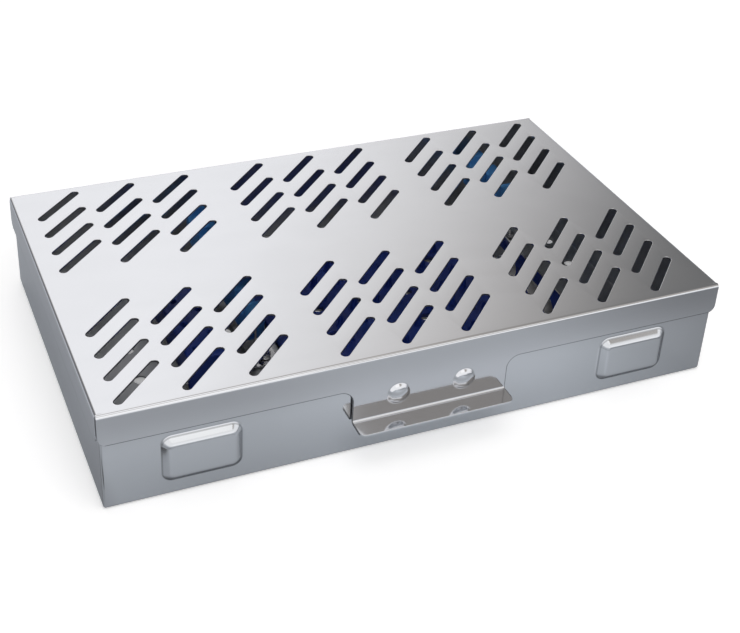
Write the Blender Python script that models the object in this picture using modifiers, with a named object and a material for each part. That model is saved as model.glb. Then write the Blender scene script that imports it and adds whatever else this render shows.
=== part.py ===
"""Stainless steel sterilization case: a folded tray, a slotted lid on two rear hinges with a snap tab
at the front, and the silicone instrument rack inside. Metres, +Z up, origin at the centre of the
tray's underside, -Y is the front with the latch."""

import math

import bmesh
import bpy
from mathutils import Matrix, Vector

# Closed case
LID_WIDTH = 0.290
LID_DEPTH = 0.182
CASE_HEIGHT = 0.0484

# Sheet metal and fits
SHEET = 0.001
BEND_RADIUS = 0.0016
LID_PLAY = 0.0005
SEAT_GAP = 0.0003
CUT_OVERRUN = 0.002
WELD_DISTANCE = 0.00001

# Lid skirts, open at the corners
SKIRT_DEPTH = 0.0149
SKIRT_CORNER = 0.0037
CORNER_RELIEF = 0.0018

# Latch tab and finger lip
TAB_WIDTH = 0.073
TAB_DROP = 0.0165
TAB_FILLET = 0.006
LIP_REACH = 0.0098
LIP_CORNER = 0.003

# Snap domes in the tab, and the smaller ones in the tray that they ride over
DOME_SPACING = 0.031
DOME_DROP = 0.0062
LID_DOME_RADIUS = 0.0055
LID_DOME_RISE = 0.002
LID_DOME_SLOPE = 0.0034
TRAY_DOME_RADIUS = 0.004
TRAY_DOME_RISE = 0.0013
TRAY_DOME_SLOPE = 0.0026

# Pressed pads on the tray's front
PAD_INSET = 0.043
PAD_WIDTH = 0.036
PAD_HEIGHT = 0.0243
PAD_DROP = 0.0025
PAD_CORNER = 0.0052
PAD_RISE = 0.0028
PAD_SLOPE = 0.004

# Lid slots, in groups of columns and rows
SLOT_WIDTH = 0.004
SLOT_SIDE_GAP = 0.0042
SLOT_ANGLE = math.radians(45)
SLOT_COLUMNS = 3
SLOT_ROWS = 4
SLOT_GROUPS_ACROSS = 3
SLOT_SIDE_MARGIN = 0.021
SLOT_END_MARGIN = 0.017
GROUP_GAP = 0.012
BARE_BAND = 0.052

# Round vents in the tray's floor
VENT_RADIUS = 0.003
VENT_PITCH = 0.024
VENT_WALL_MARGIN = 0.008
VENT_STUD_MARGIN = 0.006

# Rear hinges
HINGE_INSET = 0.060
HINGE_DROP = 0.0015
LEAF_WIDTH = 0.036
LEAF_SHEET = 0.001
LEAF_HEIGHT = 0.0125
KNUCKLE_COUNT = 5
PIN_RADIUS = 0.0012
PIN_CLEARANCE = 0.00015
PIN_HEAD_RADIUS = 0.0019
PIN_HEAD_LENGTH = 0.0008
ROLL_ANGLE = math.radians(300)
JOGGLE_HEIGHT = 0.003
JOGGLE_START = 0.0045

# Rack: folded rails on weld studs, and cap nuts
RACK_SHEET = 0.001
RAIL_FOOT = 0.012
STUD_RADIUS = 0.0015
STUD_HEIGHT = 0.0045
STUD_INSET = 0.006
NUT_ACROSS_FLATS = 0.0055
NUT_HEX_HEIGHT = 0.0026
NUT_DOME_RADIUS = 0.0023
NUT_ROOF = 0.001

# Light blue combs over the rails
HEAD_ROOM = 0.011
COMB_HEIGHT = 0.019
COMB_WIDTH = 0.009
COMB_GRIP = 0.0085
NOTCH_RADIUS = 0.0058
NOTCH_DEPTH = 0.0095
NOTCH_LIP = 0.0015
LEFT_RAIL_INSET = 0.0865
LEFT_RAIL_LENGTH = 0.096
LEFT_RAIL_REAR_MARGIN = 0.0145
LEFT_NOTCHES = 5
RIGHT_RAIL_INSET = 0.0365
RIGHT_RAIL_LENGTH = 0.043
RIGHT_RAIL_REAR_MARGIN = 0.0065
RIGHT_NOTCHES = 2

# Partition of the right compartment
PARTITION_INSET = 0.0525
PARTITION_LENGTH = 0.112
PARTITION_FRONT_MARGIN = 0.0045
PARTITION_HEIGHT = 0.026
WINDOW_LENGTH = 0.026
WINDOW_HEIGHT = 0.010
WINDOW_COUNT = 3

# Tip block and its channel
TIP_INSET = 0.0625
TIP_BLOCK_WIDTH = 0.022
TIP_BLOCK_LENGTH = 0.084
TIP_BLOCK_HEIGHT = 0.020
TIP_BLOCK_ROUND = 0.0015
TIP_REAR_MARGIN = 0.0265
TIP_WALL_HEIGHT = 0.009
TIP_FOOT = 0.011
TIP_HOLE_RADIUS = 0.002
TIP_HOLE_DEPTH = 0.014
TIP_HOLE_PITCH = 0.010
TIP_ROW_PITCH = 0.010
TIP_HOLE_ROWS = 2
TIP_HOLE_COLUMNS = 8

# Finger mat
MAT_THICKNESS = 0.0025
MAT_SIDE_GAP = 0.004
MAT_END_MARGIN = 0.0225
MAT_CORNER = 0.006
FINGER_HEIGHT = 0.0065
FINGER_FOOT_RADIUS = 0.0019
FINGER_TIP_RADIUS = 0.0012
FINGER_PITCH = 0.012
FINGER_MARGIN = 0.007

# Roundness of faceted curves
BEND_STEPS = 3
CORNER_STEPS = 4
SLOT_STEPS = 4
PRESS_STEPS = 5
DOME_SIDES = 16
VENT_SIDES = 8
ROUND_SIDES = 12
FINGER_SIDES = 6

# Heights and half sizes that the pieces share
HALF_TURN = math.pi
QUARTER_TURN = math.pi / 2
FULL_TURN = math.pi * 2
HALF_SHARE = 0.5
LID_HALF_WIDTH = LID_WIDTH / 2
LID_HALF_DEPTH = LID_DEPTH / 2
TRAY_HALF_WIDTH = LID_HALF_WIDTH - SHEET - LID_PLAY
TRAY_HALF_DEPTH = LID_HALF_DEPTH - SHEET - LID_PLAY
TRAY_HEIGHT = CASE_HEIGHT - SHEET - SEAT_GAP
INNER_HALF_WIDTH = TRAY_HALF_WIDTH - SHEET
INNER_HALF_DEPTH = TRAY_HALF_DEPTH - SHEET
SKIRT_BOTTOM = CASE_HEIGHT - SKIRT_DEPTH
LIP_TOP = SKIRT_BOTTOM - TAB_DROP
DOME_Z = SKIRT_BOTTOM - DOME_DROP
PAD_X = LID_HALF_WIDTH - PAD_INSET
HINGE_X = LID_HALF_WIDTH - HINGE_INSET
SEAT_Z = SHEET + SEAT_GAP
COMB_TOP = CASE_HEIGHT - HEAD_ROOM
COMB_BOTTOM = COMB_TOP - COMB_HEIGHT
RAIL_TOP = COMB_BOTTOM + COMB_GRIP - SEAT_GAP

# Hinge axis and leaves
ROLL_RADIUS = PIN_RADIUS + PIN_CLEARANCE + LEAF_SHEET / 2
KNUCKLE_RADIUS = ROLL_RADIUS + LEAF_SHEET / 2
LID_LEAF_Y = LID_HALF_DEPTH + SEAT_GAP + LEAF_SHEET / 2
TRAY_LEAF_Y = TRAY_HALF_DEPTH + SEAT_GAP + LEAF_SHEET / 2
HINGE_Y = LID_LEAF_Y + ROLL_RADIUS
HINGE_Z = SKIRT_BOTTOM - HINGE_DROP

# Places of the rack's pieces
LEFT_RAIL_X = LEFT_RAIL_INSET - INNER_HALF_WIDTH
RIGHT_RAIL_X = INNER_HALF_WIDTH - RIGHT_RAIL_INSET
PARTITION_X = INNER_HALF_WIDTH - PARTITION_INSET
TIP_X = TIP_INSET - INNER_HALF_WIDTH
LEFT_RAIL_REAR = INNER_HALF_DEPTH - LEFT_RAIL_REAR_MARGIN
RIGHT_RAIL_REAR = INNER_HALF_DEPTH - RIGHT_RAIL_REAR_MARGIN
PARTITION_FRONT = PARTITION_FRONT_MARGIN - INNER_HALF_DEPTH
TIP_REAR = INNER_HALF_DEPTH - TIP_REAR_MARGIN
TIP_LENGTH = TIP_BLOCK_LENGTH + 2 * TIP_FOOT
FOOT_MIDDLE = RAIL_FOOT / 2 + RACK_SHEET / 2


def stud_places():
    """The (x, y) of each weld stud: two under each rail, the partition and the tip channel."""
    stretches = (
        (LEFT_RAIL_X + FOOT_MIDDLE, LEFT_RAIL_REAR - LEFT_RAIL_LENGTH, LEFT_RAIL_REAR),
        (RIGHT_RAIL_X + FOOT_MIDDLE, RIGHT_RAIL_REAR - RIGHT_RAIL_LENGTH, RIGHT_RAIL_REAR),
        (PARTITION_X + FOOT_MIDDLE, PARTITION_FRONT, PARTITION_FRONT + PARTITION_LENGTH),
        (TIP_X, TIP_REAR - TIP_LENGTH, TIP_REAR),
    )
    places = []
    for x, front, rear in stretches:
        places.append((x, front + STUD_INSET))
        places.append((x, rear - STUD_INSET))
    return places


# Scene helpers


def clear_scene():
    for thing in list(bpy.data.objects):
        bpy.data.objects.remove(thing, do_unlink=True)


def new_collection(name):
    collection = bpy.data.collections.new(name)
    bpy.context.scene.collection.children.link(collection)
    return collection


def new_material(name, color, metallic, roughness):
    material = bpy.data.materials.new(name)
    material.use_nodes = True
    shader = material.node_tree.nodes["Principled BSDF"]
    shader.inputs["Base Color"].default_value = (*color, 1)
    shader.inputs["Metallic"].default_value = metallic
    shader.inputs["Roughness"].default_value = roughness
    return material


def mesh_from(shape, name):
    """A mesh from a bmesh, with its shared corners welded."""
    bmesh.ops.remove_doubles(shape, verts=shape.verts, dist=WELD_DISTANCE)
    mesh = bpy.data.meshes.new(name)
    shape.to_mesh(mesh)
    shape.free()
    return mesh


def add_part(name, mesh, material, parent=None):
    part = bpy.data.objects.new(name, mesh)
    CASE.objects.link(part)
    if not mesh.materials:
        mesh.materials.append(material)
    if parent:
        part.parent = parent
        part.matrix_parent_inverse = parent.matrix_world.inverted()
    return part


def add_cutter(name, shape):
    bmesh.ops.recalc_face_normals(shape, faces=shape.faces)
    cutter = bpy.data.objects.new(name, mesh_from(shape, name))
    cutter.hide_render = True
    cutter.display_type = "WIRE"
    CUTTERS.objects.link(cutter)
    return cutter


def combine(part, cutter, operation):
    boolean = part.modifiers.new(cutter.name, "BOOLEAN")
    boolean.object = cutter
    boolean.operation = operation
    boolean.solver = "EXACT"


def thicken(part, thickness, offset):
    """Gives an open sheet its thickness, behind its outer face at -1 and about its middle at 0."""
    solidify = part.modifiers.new("sheet", "SOLIDIFY")
    solidify.thickness = thickness
    solidify.offset = offset
    solidify.use_even_offset = True


# Outlines and forms


def arc(center, radius, start, sweep, steps):
    """Points along an arc, both ends included."""
    points = []
    for step in range(steps + 1):
        angle = start + sweep * step / steps
        points.append((center[0] + radius * math.cos(angle), center[1] + radius * math.sin(angle)))
    return points


def rounded_rectangle(width, height, corner, steps):
    """A rectangle with round corners about the origin, counter-clockwise."""
    points = []
    across = width / 2 - corner
    along = height / 2 - corner
    for turn, center in enumerate(((across, along), (-across, along), (-across, -along), (across, -along))):
        points += arc(center, corner, turn * QUARTER_TURN, QUARTER_TURN, steps)
    return points


def obround(length, width, steps):
    """A slot's outline along X about the origin, counter-clockwise."""
    reach = (length - width) / 2
    right = arc((reach, 0), width / 2, -QUARTER_TURN, HALF_TURN, steps)
    left = arc((-reach, 0), width / 2, QUARTER_TURN, HALF_TURN, steps)
    return right + left


def circle(radius, sides):
    return arc((0, 0), radius, 0, FULL_TURN, sides)[:-1]


def add_face(shape, points):
    return shape.faces.new([shape.verts.new(point) for point in points])


def add_prism(shape, outline, bottom, top, place=None):
    """Adds a prism on an (x, y) outline, from one height to the other, moved by a matrix."""
    face = add_face(shape, [(x, y, bottom) for x, y in outline])
    raised = bmesh.ops.extrude_face_region(shape, geom=[face])["geom"]
    corners = [item for item in raised if isinstance(item, bmesh.types.BMVert)]
    bmesh.ops.translate(shape, verts=corners, vec=(0, 0, top - bottom))
    if place:
        bmesh.ops.transform(shape, matrix=place, verts=corners + list(face.verts))


def add_box(shape, low, high):
    size = Vector(high) - Vector(low)
    middle = (Vector(high) + Vector(low)) / 2
    bmesh.ops.create_cube(shape, size=1, matrix=Matrix.Translation(middle) @ Matrix.Diagonal((*size, 1)))


def add_loft(shape, rings):
    """Joins rings of as many points each into one closed body."""
    loops = [[shape.verts.new(point) for point in ring] for ring in rings]
    for lower, upper in zip(loops, loops[1:]):
        for index in range(len(lower)):
            after = (index + 1) % len(lower)
            shape.faces.new((lower[index], lower[after], upper[after], upper[index]))
    shape.faces.new(loops[0])
    shape.faces.new(loops[-1])


def add_strip(shape, profile, start, end, frame=None):
    """Sweeps a (y, z) profile along X from start to end, as an open sheet."""
    for (y, z), (next_y, next_z) in zip(profile, profile[1:]):
        corners = [(start, y, z), (start, next_y, next_z), (end, next_y, next_z), (end, y, z)]
        if frame:
            corners = [frame @ Vector(corner) for corner in corners]
        add_face(shape, corners)


# Pressings: pads and domes stand out of a front wall


def press_profile(rise, slope, wall):
    """(inset, height) pairs from a pressing's foot to its crown, on the face one wall behind."""
    pairs = []
    for step in range(PRESS_STEPS + 1):
        share = step / PRESS_STEPS
        height = rise * (1 - math.cos(HALF_TURN * share)) / 2
        lean = math.atan(rise * HALF_TURN * math.sin(HALF_TURN * share) / (2 * slope))
        pairs.append((slope * share + wall * math.sin(lean), height - wall * math.cos(lean)))
    return pairs


def add_pressing(shape, outline_at, place, rise, slope, wall, root):
    """Adds a pressing's body at an (x, wall face y, z) place, rooted behind the wall's face."""
    x, face_y, z = place
    profile = press_profile(rise, slope, wall)
    rings = [(profile[0][0], root)] + profile
    loops = []
    for inset, height in rings:
        loops.append([(x + across, face_y - height, z + up) for across, up in outline_at(inset)])
    add_loft(shape, loops)


def pad_outline(inset):
    return rounded_rectangle(PAD_WIDTH - 2 * inset, PAD_HEIGHT - 2 * inset, PAD_CORNER - inset, CORNER_STEPS)


def lid_dome_outline(inset):
    return circle(LID_DOME_RADIUS - inset, DOME_SIDES)


def tray_dome_outline(inset):
    return circle(TRAY_DOME_RADIUS - inset, DOME_SIDES)


def press(part, name, outline_at, places, rise, slope):
    """Presses one form into a part's wall at each place: its outside is added, its inside cut."""
    outside = bmesh.new()
    inside = bmesh.new()
    for place in places:
        add_pressing(outside, outline_at, place, rise, slope, 0, -SHEET / 2)
        add_pressing(inside, outline_at, place, rise, slope, SHEET, -SHEET - CUT_OVERRUN)
    combine(part, add_cutter(name + "_outside", outside), "UNION")
    combine(part, add_cutter(name + "_inside", inside), "DIFFERENCE")


# Lid


def side_frames():
    """For each side of the lid: its turn about Z, half its length and how far out its face lies."""
    for turn in range(4):
        lengthwise = turn % 2 == 0
        half_length = LID_HALF_WIDTH if lengthwise else LID_HALF_DEPTH
        reach = LID_HALF_DEPTH if lengthwise else LID_HALF_WIDTH
        yield turn, Matrix.Rotation(turn * QUARTER_TURN, 4, "Z"), half_length - CORNER_RELIEF, reach


def skirt_outline(half_length, top, with_tab):
    """A skirt's face as (x, z) points, counter-clockwise seen from outside."""
    left_end = (SKIRT_CORNER - half_length, SKIRT_BOTTOM + SKIRT_CORNER)
    right_end = (half_length - SKIRT_CORNER, SKIRT_BOTTOM + SKIRT_CORNER)
    points = [(-half_length, top)]
    points += arc(left_end, SKIRT_CORNER, HALF_TURN, QUARTER_TURN, CORNER_STEPS)
    if with_tab:
        tab_half = TAB_WIDTH / 2
        left_fillet = (-tab_half - TAB_FILLET, SKIRT_BOTTOM - TAB_FILLET)
        right_fillet = (tab_half + TAB_FILLET, SKIRT_BOTTOM - TAB_FILLET)
        fold_start = LIP_TOP + BEND_RADIUS - SHEET
        points += arc(left_fillet, TAB_FILLET, QUARTER_TURN, -QUARTER_TURN, CORNER_STEPS)
        points += [(-tab_half, fold_start), (tab_half, fold_start)]
        points += arc(right_fillet, TAB_FILLET, HALF_TURN, -QUARTER_TURN, CORNER_STEPS)
    points += arc(right_end, SKIRT_CORNER, -QUARTER_TURN, QUARTER_TURN, CORNER_STEPS)
    points.append((half_length, top))
    return points


def add_finger_lip(shape):
    """The fold under the latch tab and the level lip with its round outer corners."""
    fold = BEND_RADIUS - SHEET
    tab_half = TAB_WIDTH / 2
    bend = arc((-LID_HALF_DEPTH - fold, LIP_TOP + fold), fold, 0, -QUARTER_TURN, BEND_STEPS)
    add_strip(shape, bend, -tab_half, tab_half)
    outer_y = LIP_CORNER - LID_HALF_DEPTH - LIP_REACH
    inner_x = tab_half - LIP_CORNER
    outline = [(-tab_half, -LID_HALF_DEPTH - fold)]
    outline += arc((-inner_x, outer_y), LIP_CORNER, HALF_TURN, QUARTER_TURN, CORNER_STEPS)
    outline += arc((inner_x, outer_y), LIP_CORNER, -QUARTER_TURN, QUARTER_TURN, CORNER_STEPS)
    outline.append((tab_half, -LID_HALF_DEPTH - fold))
    add_face(shape, [(x, y, LIP_TOP) for x, y in outline])


def lid_sheet():
    """The lid's outer face, folded: plate, four bent skirts, latch tab and lip."""
    shape = bmesh.new()
    plate = []
    for turn, frame, half_length, reach in side_frames():
        bend_center = (BEND_RADIUS - reach, CASE_HEIGHT - BEND_RADIUS)
        bend = arc(bend_center, BEND_RADIUS, QUARTER_TURN, QUARTER_TURN, BEND_STEPS)
        add_strip(shape, bend, -half_length, half_length, frame)
        outline = skirt_outline(half_length, CASE_HEIGHT - BEND_RADIUS, turn == 0)
        add_face(shape, [frame @ Vector((x, -reach, z)) for x, z in outline])
        for x in (-half_length, half_length):
            plate.append(frame @ Vector((x, BEND_RADIUS - reach, CASE_HEIGHT)))
    add_face(shape, plate)
    add_finger_lip(shape)
    return mesh_from(shape, "lid")


def centered_steps(count, pitch):
    """Places of a row of copies about zero."""
    return [(index - (count - 1) / 2) * pitch for index in range(count)]


def slot_cutter():
    """Diagonal slots in two rows of groups, spread over the plate between its margins."""
    shape = bmesh.new()
    group_gaps = (SLOT_GROUPS_ACROSS - 1) * GROUP_GAP
    column_room = LID_WIDTH - 2 * SLOT_SIDE_MARGIN - group_gaps
    column_pitch = column_room / (SLOT_GROUPS_ACROSS * SLOT_COLUMNS - 1)
    row_pitch = (LID_HALF_DEPTH - SLOT_END_MARGIN - BARE_BAND / 2) / (SLOT_ROWS - 1)
    slot_reach = (column_pitch - SLOT_SIDE_GAP - SLOT_WIDTH) / math.cos(SLOT_ANGLE)
    outline = obround(slot_reach + SLOT_WIDTH, SLOT_WIDTH, SLOT_STEPS)
    group_y = (LID_HALF_DEPTH - SLOT_END_MARGIN + BARE_BAND / 2) / 2
    bottom = CASE_HEIGHT - SHEET - CUT_OVERRUN
    top = CASE_HEIGHT + CUT_OVERRUN
    for middle_x in centered_steps(SLOT_GROUPS_ACROSS, SLOT_COLUMNS * column_pitch + GROUP_GAP):
        for middle_y in (-group_y, group_y):
            for x in centered_steps(SLOT_COLUMNS, column_pitch):
                for y in centered_steps(SLOT_ROWS, row_pitch):
                    place = Matrix.Translation((middle_x + x, middle_y + y, 0))
                    turned = place @ Matrix.Rotation(SLOT_ANGLE, 4, "Z")
                    add_prism(shape, outline, bottom, top, turned)
    return add_cutter("lid_slots", shape)


def build_lid(parent):
    lid = add_part("lid", lid_sheet(), POLISHED_STEEL, parent)
    thicken(lid, SHEET, -1)
    dome_places = [(x, -LID_HALF_DEPTH, DOME_Z) for x in centered_steps(2, DOME_SPACING)]
    press(lid, "lid_domes", lid_dome_outline, dome_places, LID_DOME_RISE, LID_DOME_SLOPE)
    combine(lid, slot_cutter(), "DIFFERENCE")


# Tray


def tray_sheet():
    """The tray's outer faces: an open box with rounded folds."""
    shape = bmesh.new()
    add_box(shape, (-TRAY_HALF_WIDTH, -TRAY_HALF_DEPTH, 0), (TRAY_HALF_WIDTH, TRAY_HALF_DEPTH, TRAY_HEIGHT))
    rim_faces = [face for face in shape.faces if face.normal.z > HALF_SHARE]
    bmesh.ops.delete(shape, geom=rim_faces, context="FACES")
    folds = [edge for edge in shape.edges if not edge.is_boundary]
    roundness = {"offset": BEND_RADIUS, "segments": BEND_STEPS, "profile": HALF_SHARE}
    bmesh.ops.bevel(shape, geom=folds, affect="EDGES", **roundness)
    return mesh_from(shape, "base_tray")


def vent_line(half_length):
    """Vent places along one direction, an even number of them about the middle."""
    reach = half_length - VENT_WALL_MARGIN
    pairs = int(reach / VENT_PITCH + HALF_SHARE)
    return centered_steps(2 * pairs, VENT_PITCH)


def vent_places():
    """Vents on a square grid, left out where a weld stud stands."""
    places = []
    for x in vent_line(INNER_HALF_WIDTH):
        for y in vent_line(INNER_HALF_DEPTH):
            distances = [math.hypot(x - stud_x, y - stud_y) for stud_x, stud_y in stud_places()]
            if min(distances) > VENT_STUD_MARGIN:
                places.append((x, y))
    return places


def round_cutter(name, places, radius, bottom, top, sides):
    shape = bmesh.new()
    for x, y in places:
        add_prism(shape, circle(radius, sides), bottom, top, Matrix.Translation((x, y, 0)))
    return add_cutter(name, shape)


def build_tray():
    tray = add_part("base_tray", tray_sheet(), POLISHED_STEEL)
    thicken(tray, SHEET, -1)
    pad_z = SKIRT_BOTTOM - PAD_DROP - PAD_HEIGHT / 2
    pad_places = [(x, -TRAY_HALF_DEPTH, pad_z) for x in (-PAD_X, PAD_X)]
    press(tray, "pads", pad_outline, pad_places, PAD_RISE, PAD_SLOPE)
    dome_places = [(x, -TRAY_HALF_DEPTH, DOME_Z) for x in centered_steps(2, DOME_SPACING)]
    press(tray, "tray_domes", tray_dome_outline, dome_places, TRAY_DOME_RISE, TRAY_DOME_SLOPE)
    stud_top = SEAT_Z + STUD_HEIGHT
    studs = round_cutter("studs", stud_places(), STUD_RADIUS, SHEET / 2, stud_top, VENT_SIDES)
    combine(tray, studs, "UNION")
    vents = round_cutter("vents", vent_places(), VENT_RADIUS, -CUT_OVERRUN, SHEET + CUT_OVERRUN, VENT_SIDES)
    combine(tray, vents, "DIFFERENCE")


# Hinges


def leaf_profile(plate_y, plate_end, direction):
    """A leaf's middle line as (y, z) points: its plate, any joggle, and the roll round the pin."""
    points = [(plate_y, plate_end)]
    if plate_y < LID_LEAF_Y:
        joggle_top = HINGE_Z - direction * JOGGLE_START
        points.append((plate_y, joggle_top - direction * JOGGLE_HEIGHT))
        points.append((LID_LEAF_Y, joggle_top))
    points += arc((HINGE_Y, HINGE_Z), ROLL_RADIUS, HALF_TURN, -direction * ROLL_ANGLE, ROUND_SIDES)
    return points


def leaf_notches(name, middle_x, kept, bottom, top):
    """Boxes that clear the knuckles that the other leaf carries."""
    shape = bmesh.new()
    pitch = LEAF_WIDTH / KNUCKLE_COUNT
    reach = KNUCKLE_RADIUS + CUT_OVERRUN
    for knuckle in range(KNUCKLE_COUNT):
        if knuckle % 2 == kept:
            continue
        low_x = middle_x - LEAF_WIDTH / 2 + knuckle * pitch - SEAT_GAP / 2
        high_x = low_x + pitch + SEAT_GAP
        if knuckle == 0:
            low_x -= CUT_OVERRUN
        if knuckle == KNUCKLE_COUNT - 1:
            high_x += CUT_OVERRUN
        add_box(shape, (low_x, HINGE_Y - reach, bottom), (high_x, HINGE_Y + reach, top))
    return add_cutter(name, shape)


def build_leaf(name, middle_x, plate_y, plate_end, direction, kept, parent=None):
    """One hinge leaf. Direction is 1 where its plate comes up from below the pin, -1 from above."""
    shape = bmesh.new()
    profile = leaf_profile(plate_y, plate_end, direction)
    add_strip(shape, profile, middle_x - LEAF_WIDTH / 2, middle_x + LEAF_WIDTH / 2)
    leaf = add_part(name, mesh_from(shape, name), BRUSHED_STEEL, parent)
    thicken(leaf, LEAF_SHEET, 0)
    plate_side = HINGE_Z - direction * (KNUCKLE_RADIUS + SEAT_GAP)
    far_side = HINGE_Z + direction * (KNUCKLE_RADIUS + CUT_OVERRUN)
    bottom, top = sorted((plate_side, far_side))
    combine(leaf, leaf_notches(name + "_notches", middle_x, kept, bottom, top), "DIFFERENCE")


def build_pin(name, middle_x):
    """A hinge pin with two round heads, turned about the hinge axis."""
    half_length = LEAF_WIDTH / 2 + SEAT_GAP
    end = half_length + PIN_HEAD_LENGTH
    profile = [
        (0, end),
        (PIN_HEAD_RADIUS, end),
        (PIN_HEAD_RADIUS, half_length),
        (PIN_RADIUS, half_length),
        (PIN_RADIUS, -half_length),
        (PIN_HEAD_RADIUS, -half_length),
        (PIN_HEAD_RADIUS, -end),
        (0, -end),
    ]
    mesh = bpy.data.meshes.new(name)
    edges = [(index, index + 1) for index in range(len(profile) - 1)]
    mesh.from_pydata([(radius, 0, along) for radius, along in profile], edges, [])
    pin = add_part(name, mesh, BRUSHED_STEEL)
    pin.location = (middle_x, HINGE_Y, HINGE_Z)
    pin.rotation_euler = (0, QUARTER_TURN, 0)
    screw = pin.modifiers.new("turned", "SCREW")
    screw.steps = ROUND_SIDES
    screw.render_steps = ROUND_SIDES
    screw.use_merge_vertices = True
    screw.merge_threshold = WELD_DISTANCE


def build_hinges(parent):
    base_end = HINGE_Z - JOGGLE_START - JOGGLE_HEIGHT - LEAF_HEIGHT
    lid_end = HINGE_Z + LEAF_HEIGHT
    for side, middle_x in (("left", -HINGE_X), ("right", HINGE_X)):
        build_leaf(f"hinge_{side}_base_leaf", middle_x, TRAY_LEAF_Y, base_end, 1, 0)
        build_leaf(f"hinge_{side}_lid_leaf", middle_x, LID_LEAF_Y, lid_end, -1, 1, parent)
        build_pin(f"hinge_{side}_pin", middle_x)


# Rack


def stud_hole_cutter(name):
    """Holes for every weld stud, deep enough for any foot on the floor."""
    radius = STUD_RADIUS + SEAT_GAP
    return round_cutter(name, stud_places(), radius, SHEET / 2, SEAT_Z + STUD_HEIGHT, ROUND_SIDES)


def build_angle(name, x, front, length, top):
    """A folded angle along Y: its web stands at x and its foot runs to the right."""
    half_sheet = RACK_SHEET / 2
    radius = BEND_RADIUS - half_sheet
    foot_z = SEAT_Z + half_sheet
    bend = arc((radius, foot_z + radius), radius, HALF_TURN, QUARTER_TURN, BEND_STEPS)
    profile = [(0, top)] + bend + [(RAIL_FOOT + half_sheet, foot_z)]
    shape = bmesh.new()
    add_strip(shape, profile, 0, length, Matrix.Translation((x, front, 0)) @ QUARTER_TURN_TO_Y)
    angle = add_part(name, mesh_from(shape, name), BRUSHED_STEEL)
    thicken(angle, RACK_SHEET, 0)
    combine(angle, STUD_HOLES, "DIFFERENCE")
    return angle


def build_partition():
    partition = build_angle("partition", PARTITION_X, PARTITION_FRONT, PARTITION_LENGTH, PARTITION_HEIGHT)
    shape = bmesh.new()
    middle_y = PARTITION_FRONT + PARTITION_LENGTH / 2
    middle_z = (SEAT_Z + PARTITION_HEIGHT) / 2
    outline = obround(WINDOW_LENGTH, WINDOW_HEIGHT, SLOT_STEPS)
    for y in centered_steps(WINDOW_COUNT, PARTITION_LENGTH / WINDOW_COUNT):
        place = Matrix.Translation((PARTITION_X, middle_y + y, middle_z)) @ FACING_X
        add_prism(shape, outline, -CUT_OVERRUN, CUT_OVERRUN, place)
    combine(partition, add_cutter("partition_windows", shape), "DIFFERENCE")


def comb_outline(length, notches):
    """A comb's side as (y, z) points about its middle: a bar with round notches along its top."""
    half = length / 2
    points = [(-half, COMB_BOTTOM), (half, COMB_BOTTOM), (half, COMB_TOP)]
    pitch = length / notches
    for y in reversed(centered_steps(notches, pitch)):
        right = (y + NOTCH_RADIUS + NOTCH_LIP, COMB_TOP - NOTCH_LIP)
        left = (y - NOTCH_RADIUS - NOTCH_LIP, COMB_TOP - NOTCH_LIP)
        bottom = (y, COMB_TOP - NOTCH_DEPTH + NOTCH_RADIUS)
        points += arc(right, NOTCH_LIP, QUARTER_TURN, QUARTER_TURN, BEND_STEPS)
        points += arc(bottom, NOTCH_RADIUS, 0, -HALF_TURN, ROUND_SIDES)
        points += arc(left, NOTCH_LIP, 0, QUARTER_TURN, BEND_STEPS)
    points.append((-half, COMB_TOP))
    return points


def build_comb(name, x, front, length, notches):
    """A silicone comb pushed over a rail's top edge."""
    shape = bmesh.new()
    place = Matrix.Translation((x, front + length / 2, 0)) @ FACING_X
    add_prism(shape, comb_outline(length, notches), -COMB_WIDTH / 2, COMB_WIDTH / 2, place)
    bmesh.ops.recalc_face_normals(shape, faces=shape.faces)
    comb = add_part(name, mesh_from(shape, name), SKY_SILICONE)
    slit = bmesh.new()
    half_slit = RACK_SHEET / 2 + SEAT_GAP
    low = (x - half_slit, front - CUT_OVERRUN, COMB_BOTTOM - CUT_OVERRUN)
    high = (x + half_slit, front + length + CUT_OVERRUN, RAIL_TOP + SEAT_GAP)
    add_box(slit, low, high)
    combine(comb, add_cutter(name + "_slit", slit), "DIFFERENCE")


def build_rails():
    left_front = LEFT_RAIL_REAR - LEFT_RAIL_LENGTH
    right_front = RIGHT_RAIL_REAR - RIGHT_RAIL_LENGTH
    build_angle("left_rail", LEFT_RAIL_X, left_front, LEFT_RAIL_LENGTH, RAIL_TOP)
    build_comb("left_holder", LEFT_RAIL_X, left_front, LEFT_RAIL_LENGTH, LEFT_NOTCHES)
    build_angle("right_rail", RIGHT_RAIL_X, right_front, RIGHT_RAIL_LENGTH, RAIL_TOP)
    build_comb("right_holder", RIGHT_RAIL_X, right_front, RIGHT_RAIL_LENGTH, RIGHT_NOTCHES)


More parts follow.
